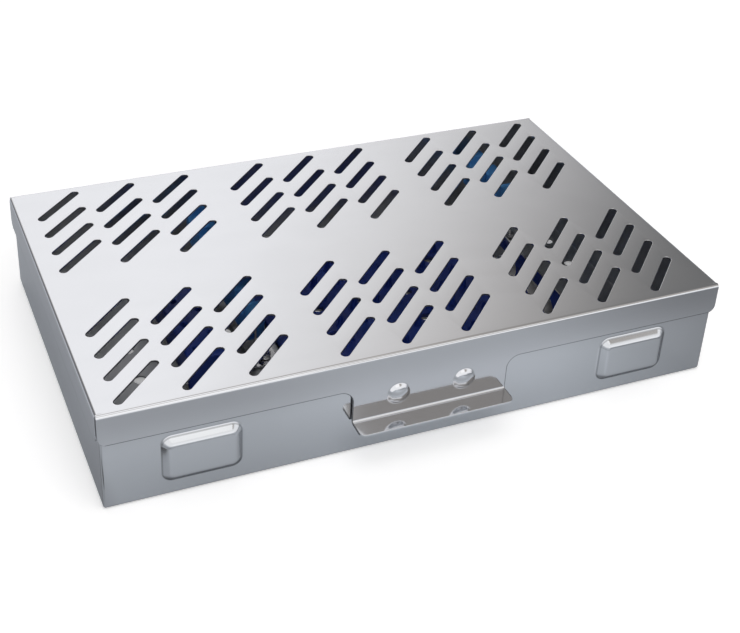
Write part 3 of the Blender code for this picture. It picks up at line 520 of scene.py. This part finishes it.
flat_x, flat_y = tray_half - tray_corner
wall_z = np.array((wall_foot, wall_foot, tray_height, tray_height))
front_outline = np.column_stack((np.array((-1, 1, 1, -1)) * flat_x, wall_z))
side_outline = np.column_stack((np.array((-1, 1, 1, -1)) * flat_y, wall_z))
tray_front = front_at(-tray_half[1])
front_holes = [pad_outline(-collar) + place for place in pad_places]
front_holes += [circle(tray_dome_radius + collar, 32) + place for place in dome_places]
tray_patches.append(plate(front_outline, front_holes, tray_front, (0, -1, 0)))
tray_patches.append(plate(front_outline, [], front_at(tray_half[1]), (0, 1, 0)))
for side in (-1, 1):
    tray_patches.append(plate(side_outline, [], side_at(side * tray_half[0]), (side, 0, 0)))

pad_leans = np.radians((0, 10, 20, 28, 34, 38, 40, 40, 37, 32, 25, 17, 8, 0))
pad_insets = np.array((0, 0.22, 0.44, 0.66, 0.9, 1.2, 1.5, 2.5, 3.0, 3.5, 3.9, 4.3, 4.65, 5.0)) * MM
pad_profile = lean_profile(pad_leans, pad_insets, pad_rise)
for place in pad_places:
    tray_patches += pressing(lambda inset: pad_outline(inset) + place, pad_profile, tray_front, (0, -1, 0))
tray_dome_insets = np.linspace(0, 2.6, 9) * MM
tray_dome_leans = np.radians(42) * np.sin(math.pi * np.linspace(0, 1, 9))
tray_dome = lean_profile(tray_dome_leans, tray_dome_insets, tray_dome_rise)
for place in dome_places:
    tray_patches += pressing(
        lambda inset: circle(tray_dome_radius - inset, 32) + place, tray_dome, tray_front, (0, -1, 0))
finished("tray", joined("tray", tray_patches), tray_steel, "base", "base_tray",
         tray_sheet, sheared_edge)

# Weld studs. Eight M3 studs with a rolled thread stand on the floor, each on its small ring of weld.
# They are welded before the tray is polished and stay one piece with it.


def wound_away(points, faces, center):
    """Winds quads so that their normals, the crosses of their diagonals, point away from center on the
    whole."""
    corners = points[faces]
    normals = np.cross(corners[:, 2] - corners[:, 0], corners[:, 3] - corners[:, 1])
    away = corners.mean(axis=1) - center
    return points, faces if (away * normals).sum() > 0 else faces[:, ::-1]


def solid_grid(rings):
    """Closes a stack of rings into a body whose faces point away from its middle."""
    points = rings.reshape(-1, 3)
    return wound_away(points, quads_between(*rings.shape[:2], True), points.mean(axis=0))


def turned(profile, steps, place=(0, 0, 0), axis="Z"):
    """A closed body turned about an axis: every (radius, height) of the profile goes once round."""
    angles = np.linspace(0, 2 * math.pi, steps, endpoint=False)
    radius, height = np.asarray(profile, dtype=float).T[:, :, None]
    ring = np.stack((radius * np.cos(angles), radius * np.sin(angles), height + 0 * angles), axis=-1)
    if axis == "X":
        ring = ring[:, :, [2, 0, 1]]
    if axis == "Y":
        ring = ring[:, :, [1, 2, 0]]
    return solid_grid(ring + np.asarray(place))


thread_pitch = 0.5
thread_turns = np.arange(0, 8.01, 0.5)
thread_radii = np.where(np.arange(len(thread_turns)) % 2, 1.5, 1.28)
thread = np.column_stack((thread_radii, 1.5 + thread_turns * thread_pitch))
weld_ring = [(0, 0.9), (2.1, 0.9), (2.0, 1.15), (1.6, 1.3)]
stud_profile = np.vstack((weld_ring, thread, [(1.0, 5.8), (0, 5.8)])) * MM
stud_bodies = [turned(stud_profile, 20, (*place, 0)) for place in stud_places]
stud_steel = steel_finish("stud_steel", (0.62, 0.62, 0.63), 0.22, 0.34, 0.8e-6)
finished("weld_studs", joined("weld_studs", stud_bodies), stud_steel, "base", "base_tray")

# Hinges. Two small butt hinges of satin 1 mm sheet, spot-welded low on the rear walls of tray and lid.
# Their leaves are rolled round a turned pin; the tray's leaf is joggled out under the lid's skirt.

hinge_axis = np.array((93.65, 32.0)) * MM
hinges_x = (("left", -85 * MM), ("right", 85 * MM))
leaf_width = 36 * MM
leaf_sheet = 1.0 * MM
leaf_edge = 0.12 * MM
knuckles = 5
knuckle_gap = 0.15 * MM
roll_radius = 1.85 * MM
roll_degrees = 300
notch_reach = 2.65 * MM
tray_leaf_y = 90.3 * MM
lid_leaf_y = 91.8 * MM
hinge_steel = steel_finish("hinge_steel", (0.62, 0.62, 0.63), 0.20, 0.30, 2.2e-6)


def leaf_patches(middle_x, plate_line, direction, first_knuckle):
    """A leaf's middle surface: its plate line, and at every second knuckle an arc round the pin, swept
    along X. The roll goes on from the plate's face, so it is wound towards the pin."""
    pitch = leaf_width / knuckles
    starts = middle_x - leaf_width / 2 + pitch * np.arange(knuckles)
    ends = starts + pitch
    starts[1:] += knuckle_gap
    ends[:-1] -= knuckle_gap

    def swept(xs, line):
        return np.stack([side_at(x)(np.asarray(line)) for x in xs])

    notch = (plate_line[-1][0], hinge_axis[1] - direction * notch_reach)
    start = (plate_line[-1][0], hinge_axis[1])
    roll = arc(hinge_axis, roll_radius, 180, -direction * roll_degrees, 28)
    breaks = np.sort(np.concatenate((starts, ends)))
    patches = [grid(swept(breaks, list(plate_line) + [notch]), (0, 1, 0))]
    for knuckle in range(first_knuckle, knuckles, 2):
        ends_x = (starts[knuckle], ends[knuckle])
        patches.append(grid(swept(ends_x, [notch, start]), (0, 1, 0)))
        points, faces = wound_away(*grid(swept(ends_x, roll), (0, 1, 0)), (middle_x, *hinge_axis))
        patches.append((points, faces[:, ::-1]))
    return patches


pin_profile = np.array([
    (0, 19.1), (0.9, 19.05), (1.5, 18.85), (1.85, 18.55), (1.9, 18.3), (1.2, 18.3), (1.2, -18.3),
    (1.9, -18.3), (1.85, -18.55), (1.5, -18.85), (0.9, -19.05), (0, -19.1),
]) * MM
spot_profile = np.array([
    (0, 0.02), (0.9, 0.0), (1.5, 0.05), (1.8, 0.11), (2.05, 0.08), (2.2, -0.2), (0, -0.2),
]) * MM
spot_pitch = 12 * MM
tray_spot_z = 18.5 * MM
lid_spot_z = 40 * MM
tray_leaf_line = [(tray_leaf_y, 12.0 * MM), (tray_leaf_y, 24.5 * MM), (lid_leaf_y, 27.5 * MM)]
lid_leaf_line = [(lid_leaf_y, 44.5 * MM)]
for side, middle_x in hinges_x:
    leaves = (("base", tray_leaf_line, 1, 0), ("lid", lid_leaf_line, -1, 1))
    for body, line, direction, first_knuckle in leaves:
        leaf = joined(f"{body}_plate", leaf_patches(middle_x, line, direction, first_knuckle))
        finished(f"hinge_{side}_{body}_plate", leaf, hinge_steel, body, f"hinge_{side}_{body}_leaf",
                 leaf_sheet, leaf_edge, 0)
    pin = turned(pin_profile, 32, (middle_x, *hinge_axis), "X")
    finished(f"hinge_{side}_steel_pin", joined("steel_pin", [pin]), hinge_steel, "base",
             f"hinge_{side}_pin")
    spots_x = middle_x + np.array((-1, 0, 1)) * spot_pitch
    for body, leaf_y, spot_z in (("base", tray_leaf_y, tray_spot_z), ("lid", lid_leaf_y, lid_spot_z)):
        spots = [turned(spot_profile, 24, (x, leaf_y + leaf_sheet / 2, spot_z), "Y") for x in spots_x]
        finished(f"hinge_{side}_{body}_welds", joined(f"{body}_welds", spots), hinge_steel, body,
                 f"hinge_{side}_{body}_leaf")

# Lid. One blank of 1 mm polished stainless sheet. Seventy-two slots are punched in its plate, four
# skirts are folded down with open corners, and the front one ends in the latch tab and finger lip.

lid_half = np.array((145.0, 91.0)) * MM
lid_top = 48.4 * MM
lid_sheet = 1.0 * MM
lid_bend = 1.6 * MM
skirt_bottom = 33.5 * MM
skirt_corner = 3.7 * MM
skirt_reliefs = (0.5 * MM, 2.1 * MM, 0.5 * MM, 2.1 * MM)
slot_length, slot_width = 32 * MM, 4 * MM
slots_x = np.array((-124, -96, -68, -28, 0, 28, 68, 96, 124)) * MM
slots_y = np.array((-74, -58, -42, -26, 26, 42, 58, 74)) * MM
tab_half = 36.5 * MM
tab_fillet = 6 * MM
lid_dome_radius = 5.5 * MM
lid_dome_rise = 2.0 * MM
lip_top = 17.0 * MM
lip_fold = 1.0 * MM
lip_depth = 9.8 * MM
lip_corner = 3 * MM


def slot_outline(length, width, angle, steps):
    """A slot: two half circles joined by straight sides, turned by angle."""
    reach = (length - width) / 2
    right = arc((reach, 0), width / 2, -90, 180, steps)
    flat = np.vstack((right, -right))
    turn = np.array([(math.cos(angle), math.sin(angle)), (-math.sin(angle), math.cos(angle))])
    return flat @ turn


def lid_dulling_and_painted_shade(tree, axes):
    """Painted shade along the lower edge of the skirts and the tab, a dark and duller line where the lid
    meets the tray, and the duller inside. Beside the tab the edge runs round the centres of the fillets and
    straight on from there, so the distance from it is the length of (inwards, upwards) less the fillet's
    radius."""
    from_middle = math_node(tree, "ABSOLUTE", axes.outputs["X"])
    beside_tab = math_node(tree, "SUBTRACT", tab_half + tab_fillet, from_middle)
    at_front = smooth_range(tree, axes.outputs["Y"], -85 * MM, -83 * MM, 1, 0)
    inwards = product(tree, math_node(tree, "MAXIMUM", beside_tab, 0.0), at_front)
    upwards = math_node(tree, "SUBTRACT", axes.outputs["Z"], skirt_bottom - tab_fillet)
    upwards = math_node(tree, "MAXIMUM", upwards, 0.0)
    squares = math_node(tree, "MULTIPLY_ADD", inwards, inwards, math_node(tree, "MULTIPLY", upwards, upwards))
    from_edge = math_node(tree, "SUBTRACT", math_node(tree, "SQRT", squares), tab_fillet)
    # Painted shade: a dark line along the lower edge, where the skirt meets the tray.
    painted_edge_shade = smooth_range(tree, from_edge, 0.22 * MM, 0.48 * MM, 1, 0)
    below_top = smooth_range(tree, axes.outputs["Z"], lid_top - 0.6 * MM, lid_top - 0.4 * MM, 1, 0)
    inside = product(tree, inside_share(tree, axes, lid_half), below_top)
    return (painted_edge_shade, 0.28, 0.12), (inside, 1.0, 0.24)


def skirt_outline(half_length, with_tab):
    """A skirt's outline from its bend down: round lower corners, and at the front the tab's concave
    fillets and straight ends."""
    top = lid_top - lid_bend - collar
    corner_x, corner_z = half_length - skirt_corner, skirt_bottom + skirt_corner
    parts = [[(-half_length, top)], arc((-corner_x, corner_z), skirt_corner, 180, 90, 10)]
    if with_tab:
        fold_z = lip_top + lip_fold + collar
        fillet_x, fillet_z = tab_half + tab_fillet, skirt_bottom - tab_fillet
        parts.append(arc((-fillet_x, fillet_z), tab_fillet, 90, -90, 14))
        parts.append([(-tab_half, fold_z), (tab_half, fold_z)])
        parts.append(arc((fillet_x, fillet_z), tab_fillet, 180, -90, 14))
    parts.append(arc((corner_x, corner_z), skirt_corner, -90, 90, 10))
    parts.append([(half_length, top)])
    return np.vstack(parts)


lid_steel = steel_finish("lid_steel", (0.575, 0.58, 0.595), 0.08, 0.12, 0.5e-6, dulling_and_painted_shade=lid_dulling_and_painted_shade)

# The four sides are made as the front one and turned about Z, one quarter turn after another.
lid_patches = []
plate_corners = []
quarter_turn = np.array([(0, -1), (1, 0)])
for turn, relief in enumerate(skirt_reliefs):
    half_length = lid_half[turn % 2] - relief
    reach = lid_half[1 - turn % 2]
    spin = np.linalg.matrix_power(quarter_turn, turn)

    def turned_side(points):
        return np.column_stack((points[:, :2] @ spin.T, points[:, 2]))

    outward = turned_side(np.array([(0.0, -1.0, 0.0)]))[0]
    plate_edge = lid_bend + collar - reach
    bend = np.vstack((
        [(plate_edge, lid_top)],
        arc((lid_bend - reach, lid_top - lid_bend), lid_bend, 90, 90, 10),
        [(-reach, lid_top - lid_bend - collar)],
    ))
    strip = np.stack([turned_side(side_at(x)(bend)) for x in (-half_length, half_length)])
    lid_patches.append(grid(strip, outward + (0, 0, 1)))
    is_front = turn == 0
    holes = [circle(lid_dome_radius + collar, 40) + place for place in dome_places] if is_front else []
    skirt = skirt_outline(half_length, is_front)
    lid_patches.append(plate(skirt, holes, lambda flat: turned_side(front_at(-reach)(flat)), outward))
    plate_ends = np.array([(-half_length, plate_edge, lid_top), (half_length, plate_edge, lid_top)])
    plate_corners.append(turned_side(plate_ends)[:, :2])
slot = slot_outline(slot_length, slot_width, math.radians(45), 10)
slot_holes = [slot + (x, y) for x in slots_x for y in slots_y]
lid_patches.append(plate(np.vstack(plate_corners), slot_holes, level_at(lid_top), (0, 0, 1)))

# The latch domes have a steep flank and a full crown, so that they snap over the tray's domes.
lid_dome_leans = np.radians((0, 20, 40, 50, 50, 44, 33, 29, 26, 22, 15, 7, 0))
lid_dome_insets = np.array((0, 0.18, 0.36, 0.55, 1.2, 1.58, 1.66, 2.1, 2.7, 3.4, 4.1, 4.8, 5.2)) * MM
lid_dome = lean_profile(lid_dome_leans, lid_dome_insets, lid_dome_rise)
lid_front = front_at(-lid_half[1])
for place in dome_places:
    lid_patches += pressing(
        lambda inset: circle(lid_dome_radius - inset, 40) + place, lid_dome, lid_front, (0, -1, 0))

# The finger lip is folded forward under the tab on a tight inner radius.
lip_rear = -lid_half[1] - lip_fold
lip_front = -lid_half[1] - lip_depth
fold = np.vstack((
    [(-lid_half[1], lip_top + lip_fold + collar)],
    arc((lip_rear, lip_top + lip_fold), lip_fold, 0, -90, 8),
    [(lip_rear - collar, lip_top)],
))
lid_patches.append(grid(np.stack([side_at(x)(fold) for x in (-tab_half, tab_half)]), (0, -1, 1)))
lip_corner_x, lip_corner_y = tab_half - lip_corner, lip_front + lip_corner
lip_outline = np.vstack((
    [(-tab_half, lip_rear - collar)],
    arc((-lip_corner_x, lip_corner_y), lip_corner, 180, 90, 10),
    arc((lip_corner_x, lip_corner_y), lip_corner, -90, 90, 10),
    [(tab_half, lip_rear - collar)],
))
lid_patches.append(plate(lip_outline, [], level_at(lip_top), (0, 0, 1)))
finished("lid_sheet", joined("lid_sheet", lid_patches), lid_steel, "lid", "lid", lid_sheet,
         sheared_edge)

# Rails. Two folded angles of satin 1 mm sheet stand across the case, their feet punched to drop over the
# weld studs. A light blue silicone comb is pushed over each web and holds the handpieces in its notches.

rack_sheet = 1.0 * MM
rack_edge = 0.12 * MM
rack_bend = 1.1 * MM
rack_corner = 2.5 * MM
foot_middle = 1.8 * MM
foot_width = 12.5 * MM
stud_hole = 1.8 * MM
rail_top = 26.6 * MM
comb_top = 37.4 * MM
comb_bottom = 18.4 * MM
comb_half = 4.5 * MM
comb_soft = 0.7 * MM
notch_radius = 5.8 * MM
notch_depth = 9.5 * MM
notch_lip = 1.5 * MM
slit_half = np.array((0.8, 60, 8)) * MM
slit_room = 0.3 * MM
rack_steel = steel_finish("rack_steel", (0.64, 0.64, 0.65), 0.18, 0.28, 2.5e-6)


def angle_patches(web_x, front, rear, top, windows=()):
    """A folded angle's middle surface along Y: an upright web with round top corners, a quarter bend, and
    a foot to the right with a hole at each weld stud that it covers."""
    bend_z = foot_middle + rack_bend
    corner = rack_corner
    web_outline = np.vstack((
        [(front, bend_z), (rear, bend_z)],
        arc((rear - corner, top - corner), corner, 0, 90, 6),
        arc((front + corner, top - corner), corner, 90, 90, 6),
    ))
    web = plate(web_outline, windows, side_at(web_x), (-1, 0, 0))
    bend = arc((web_x + rack_bend, bend_z), rack_bend, 180, 90, 6)
    strip = np.stack([front_at(y)(bend) for y in (front, rear)])
    foot_end = web_x + foot_width
    foot_outline = np.vstack((
        [(web_x + rack_bend, front)],
        arc((foot_end - corner, front + corner), corner, -90, 90, 6),
        arc((foot_end - corner, rear - corner), corner, 0, 90, 6),
        [(web_x + rack_bend, rear)],
    ))
    under = (stud_places[:, 0] > web_x) & (stud_places[:, 0] < foot_end)
    under &= (stud_places[:, 1] > front) & (stud_places[:, 1] < rear)
    holes = [circle(stud_hole, 24) + place for place in stud_places[under]]
    foot = plate(foot_outline, holes, level_at(foot_middle), (0, 0, -1))
    return [web, grid(strip, (-1, 0, -1)), foot]


def silicone_finish(name, color, light):
    """Moulded silicone: matte, with a fine even grain, and a little lighter where it is handled."""
    finish, tree, shader, place = blank_finish(name)
    cloud = noise(tree, place, 60, 3)
    grain = noise(tree, place, 2600, 2)
    grain_depth = 0.012 * MM
    handled = smooth_range(tree, cloud, 0.3, 0.75)
    tree.links.new(mix_color(tree, handled, color, light), shader.inputs["Base Color"])
    tree.links.new(smooth_range(tree, cloud, 0.3, 0.7, 0.40, 0.52), shader.inputs["Roughness"])
    lifted(tree, shader, math_node(tree, "MULTIPLY", grain, grain_depth))
    return finish


def comb_outline(front, rear, notches):
    """A comb's side: a bar whose top dips into a round-bottomed notch with a round lip at each place."""
    pitch = (rear - front) / notches
    notch_z, lip_z = comb_top - notch_depth + notch_radius, comb_top - notch_lip
    parts = [[(front, comb_bottom), (rear, comb_bottom), (rear, comb_top)]]
    for middle in front + pitch * (np.arange(notches)[::-1] + 0.5):
        lip_reach = notch_radius + notch_lip
        parts.append(arc((middle + lip_reach, lip_z), notch_lip, 90, 90, 6))
        parts.append(arc((middle, notch_z), notch_radius, 0, -180, 24))
        parts.append(arc((middle - lip_reach, lip_z), notch_lip, 0, 90, 6))
    parts.append([(front, comb_top)])
    return np.vstack(parts)


def drawn_in(outline, inset):
    """A closed outline, counter-clockwise, with every side moved inwards by inset."""
    sides = np.roll(outline, -1, axis=0) - outline
    normals = np.column_stack((-sides[:, 1], sides[:, 0])) / np.hypot(*sides.T)[:, None]
    before = np.roll(normals, 1, axis=0)
    meeting = (before + normals) / (1 + (before * normals).sum(axis=1))[:, None]
    return outline + inset * meeting


def comb_mesh(name, web_x, front, rear, notches):
    """The comb's outline carried across X, drawn in along a quarter circle at both edges, and slit from
    below for the web."""
    outline = comb_outline(front, rear, notches)
    angles = np.linspace(0, math.pi / 2, 6)
    insets = comb_soft * (1 - np.sin(angles))
    offsets = comb_half - comb_soft * (1 - np.cos(angles))
    stations = web_x + np.concatenate((-offsets, offsets[::-1]))
    insets = np.concatenate((insets, insets[::-1]))
    rings = np.stack([side_at(station)(drawn_in(outline, inset)) for station, inset in zip(stations, insets)])
    patches = [solid_grid(rings)]
    end_face = drawn_in(outline, comb_soft)
    for side in (-1, 1):
        patches.append(plate(end_face, [], side_at(web_x + side * comb_half), (side, 0, 0)))
    slit_middle = np.array((web_x, (front + rear) / 2, rail_top + slit_room - slit_half[2]))
    signs = np.array([(x, y, z) for x in (-1, 1) for y in (-1, 1) for z in (-1, 1)])
    sides = [(0, 1, 3, 2), (4, 6, 7, 5), (0, 4, 5, 1), (2, 3, 7, 6), (0, 2, 6, 4), (1, 5, 7, 3)]
    knife_mesh = bpy.data.meshes.new("slit_knife")
    knife_mesh.from_pydata((signs * slit_half + slit_middle).tolist(), [], sides)
    knife = placed("slit_knife", knife_mesh)
    comb = placed(name, joined(name, patches))
    slit = comb.modifiers.new("slit", "BOOLEAN")
    slit.object = knife
    slit.solver = "EXACT"
    bpy.context.view_layer.update()
    mesh = bpy.data.meshes.new_from_object(comb.evaluated_get(bpy.context.evaluated_depsgraph_get()))
    for thing in (knife, comb):
        bpy.data.objects.remove(thing)
    return mesh


sky_silicone = silicone_finish("light_blue_silicone", (0.09, 0.38, 0.90), (0.13, 0.45, 0.94))
for side, web_x, front, rear, notches in (
        ("left", -56 * MM, -22 * MM, 74 * MM, 5), ("right", 106 * MM, 39 * MM, 82 * MM, 2)):
    rail_mesh = joined(f"{side}_angle", angle_patches(web_x, front, rear, rail_top))
    finished(f"{side}_angle", rail_mesh, rack_steel, "base", f"{side}_rail",
             rack_sheet, rack_edge, 0)
    finished(f"{side}_comb", comb_mesh(f"{side}_comb", web_x, front, rear, notches), sky_silicone, "base",
             f"{side}_holder")

# Partition. A longer angle of the same sheet walls off the compartment for small parts on the right, and
# three round-ended windows in its web let the steam through.

partition_x = 90 * MM
partition_front, partition_rear = -84 * MM, 28 * MM
partition_top = 26 * MM
window_z = 13.65 * MM
window = slot_outline(26 * MM, 10 * MM, 0, 14)
window_pitch = (partition_rear - partition_front) / 3
window_middle = (partition_front + partition_rear) / 2
windows = [window + (window_middle + step * window_pitch, window_z) for step in (-1, 0, 1)]
partition_patches = angle_patches(partition_x, partition_front, partition_rear, partition_top, windows)
finished("partition_angle", joined("partition_angle", partition_patches), rack_steel, "base", "partition",
         rack_sheet, rack_edge, 0)

# Tip stand. A channel of satin sheet, open at the ends where its feet go over two weld studs, holds a
# block of navy silicone by its sides. Sixteen blind holes in the block take burs and tips.

tip_x = -80 * MM
tip_front, tip_rear = -44 * MM, 62 * MM
tip_corner = 3 * MM
wall_x = 11.8 * MM
wall_front, wall_rear = tip_front + 10.7 * MM, tip_rear - 10.7 * MM
wall_corner = 2 * MM
channel_top = 10.3 * MM
flat_half = wall_x - rack_bend
corner_x, corner_front, corner_rear = flat_half - tip_corner, tip_front + tip_corner, tip_rear - tip_corner
channel_floor = np.vstack((
    arc((corner_x, corner_front), tip_corner, -90, 90, 6),
    [(flat_half, wall_front), (flat_half, wall_rear)],
    arc((corner_x, corner_rear), tip_corner, 0, 90, 6),
    arc((-corner_x, corner_rear), tip_corner, 90, 90, 6),
    [(-flat_half, wall_rear), (-flat_half, wall_front)],
    arc((-corner_x, corner_front), tip_corner, 180, 90, 6),
)) + (tip_x, 0)
tip_stud_holes = [circle(stud_hole, 24) + place for place in stud_places[6:]]
channel_patches = [plate(channel_floor, tip_stud_holes, level_at(foot_middle), (0, 0, -1))]
wall_outline = np.vstack((
    [(wall_front, foot_middle + rack_bend), (wall_rear, foot_middle + rack_bend)],
    arc((wall_rear - wall_corner, channel_top - wall_corner), wall_corner, 0, 90, 6),
    arc((wall_front + wall_corner, channel_top - wall_corner), wall_corner, 90, 90, 6),
))
for side in (-1, 1):
    bend_center = (tip_x + side * flat_half, foot_middle + rack_bend)
    bend = arc(bend_center, rack_bend, -90, side * 90, 6)
    strip = np.stack([front_at(y)(bend) for y in (wall_front, wall_rear)])
    channel_patches.append(grid(strip, (side, 0, -1)))
    channel_patches.append(plate(wall_outline, [], side_at(tip_x + side * wall_x), (side, 0, 0)))
finished("tip_channel", joined("tip_channel", channel_patches), rack_steel, "base", "tip_frame",
         rack_sheet, rack_edge, 0)

block_half = np.array((11, 42)) * MM
block_place = np.array((tip_x, (tip_front + tip_rear) / 2))
block_bottom, block_top = 2.6 * MM, 22.6 * MM
block_corner = 1.5 * MM
low_round, top_round = 0.5 * MM, 1.2 * MM
tip_hole, tip_hole_lip, tip_hole_depth = 2.0 * MM, 0.4 * MM, 14 * MM


def quarter_round(end, level, radius, up=1):
    """(offset, height) pairs of a quarter circle: it starts level, radius beyond end, and stands upright
    at end, radius above the level or, with up -1, below it."""
    turns = np.linspace(0, math.pi / 2, 6)
    return np.column_stack((end + radius * (1 - np.sin(turns)), level + up * radius * (1 - np.cos(turns))))


def sunk(profile, place, steps):
    """A round wall about an upright axis, from its lip on: every (radius, height) goes once round."""
    rings = np.stack([level_at(z)(circle(radius, steps) + place) for radius, z in profile])
    return grid(rings, (0, 0, 1), closed=True)


def cushion_rings(outline_at, bottom, top, low_round, top_round):
    """A moulded slab's side: its outline drawn in along a quarter circle at the bottom and at the top."""
    profile = np.vstack((quarter_round(0, bottom, low_round), quarter_round(0, top, top_round, -1)[::-1]))
    return solid_grid(np.stack([level_at(z)(outline_at(inset)) for inset, z in profile]))


def block_outline(inset):
    """The block's outline, drawn in."""
    return rounded(block_half - inset, block_corner - inset, 6) + block_place


navy_silicone = silicone_finish("navy_blue_silicone", (0.028, 0.070, 0.42), (0.036, 0.095, 0.48))
hole_places = crossings(np.array((-5, 5)) * MM, np.arange(-35, 36, 10) * MM) + block_place
hole_bottom = block_top - tip_hole_depth
hole_profile = np.vstack((
    quarter_round(tip_hole, block_top, tip_hole_lip, -1),
    [(tip_hole, hole_bottom + 0.6 * MM), (tip_hole - 0.4 * MM, hole_bottom + 0.1 * MM), (0, hole_bottom)],
))
top_holes = [circle(tip_hole + tip_hole_lip, 20) + place for place in hole_places]
block_patches = [
    cushion_rings(block_outline, block_bottom, block_top, low_round, top_round),
    plate(block_outline(top_round), top_holes, level_at(block_top), (0, 0, 1)),
    plate(block_outline(low_round), [], level_at(block_bottom), (0, 0, -1)),
]
block_patches += [sunk(hole_profile, place, 20) for place in hole_places]
finished("tip_silicone", joined("tip_silicone", block_patches), navy_silicone, "base", "tip_block")

# Cap nuts. Eight M3 cap nuts of polished stainless steel are screwed onto the weld studs and clamp the
# feet of the rack. Each is a turned and chamfered hexagon under a dome.

across_flats = 5.5 * MM
nut_edge = 0.1 * MM
nut_finish = steel_finish("nut_finish", (0.70, 0.70, 0.71), 0.10, 0.18, 0.8e-6)
nut_angles = np.linspace(0, 2 * math.pi, 48, endpoint=False)
hexagon = across_flats / 2 / np.cos(np.mod(nut_angles, math.pi / 3) - math.pi / 6)
dome_turns = np.linspace(0, math.pi / 2, 9)
nut_profile = np.vstack((
    [(0, 6.1), (1.8, 6.1), (1.8, 2.6), (2.8, 2.6), (9, 2.95), (9, 4.8), (2.85, 5.2), (2.45, 5.2)],
    np.column_stack((2.3 * np.cos(dome_turns), 5.25 + 1.85 * np.sin(dome_turns))),
)) * MM
nut_radius = np.minimum(nut_profile[:, :1], hexagon)
for number, place in enumerate(stud_places, 1):
    nut_rings = np.stack((
        place[0] + nut_radius * np.cos(nut_angles), place[1] + nut_radius * np.sin(nut_angles),
        nut_profile[:, 1:] + 0 * nut_angles), axis=-1)
    nut = joined("cap_nut", [solid_grid(nut_rings)])
    finished(f"cap_nut_{number}", nut, nut_finish, "base", f"nut_{number}", edge=nut_edge)

# Finger mat. A navy silicone mat lies on the tray's floor between the left comb and the partition. Rows of
# soft fingers keep the instruments apart, and drain holes lie over the floor's vents.

mat_half = np.array((63, 66)) * MM
mat_place = np.array((23, 0)) * MM
mat_corner = 6 * MM
mat_bottom, mat_top = 1.3 * MM, 3.8 * MM
mat_low_round, mat_top_round = 0.4 * MM, 0.7 * MM
drain_radius, drain_lip = 3.0 * MM, 0.4 * MM
finger_foot, finger_fillet, finger_tip, finger_top = 1.9 * MM, 0.8 * MM, 1.2 * MM, 10.3 * MM
finger_pitch = 12 * MM
finger_steps = np.arange(10) - 4.5


def mat_outline(inset):
    """The mat's outline, drawn in."""
    return rounded(mat_half - inset, mat_corner - inset, 8) + mat_place


drains = crossings(np.array((-12, 12, 36, 60)) * MM, np.array((-36, -12, 12, 36)) * MM)
drain_profile = np.vstack((
    quarter_round(drain_radius, mat_top, drain_lip, -1), [(drain_radius, mat_bottom)]))
fingers = crossings(finger_steps * finger_pitch, finger_steps * finger_pitch) + mat_place
finger_profile = np.vstack((
    quarter_round(finger_foot, mat_top, finger_fillet),
    arc((0, finger_top - finger_tip), finger_tip, 0, 90, 5)))
mat_holes = [circle(drain_radius + drain_lip, 24) + place for place in drains]
mat_holes += [circle(finger_foot + finger_fillet, 14) + place for place in fingers]
underside_holes = [circle(drain_radius, 24) + place for place in drains]
mat_patches = [
    cushion_rings(mat_outline, mat_bottom, mat_top, mat_low_round, mat_top_round),
    plate(mat_outline(mat_top_round), mat_holes, level_at(mat_top), (0, 0, 1)),
    plate(mat_outline(mat_low_round), underside_holes, level_at(mat_bottom), (0, 0, -1)),
]
mat_patches += [sunk(drain_profile, place, 24) for place in drains]
mat_patches += [sunk(finger_profile, place, 14) for place in fingers]
finished("mat_silicone", joined("mat_silicone", mat_patches), navy_silicone, "base", "finger_mat")
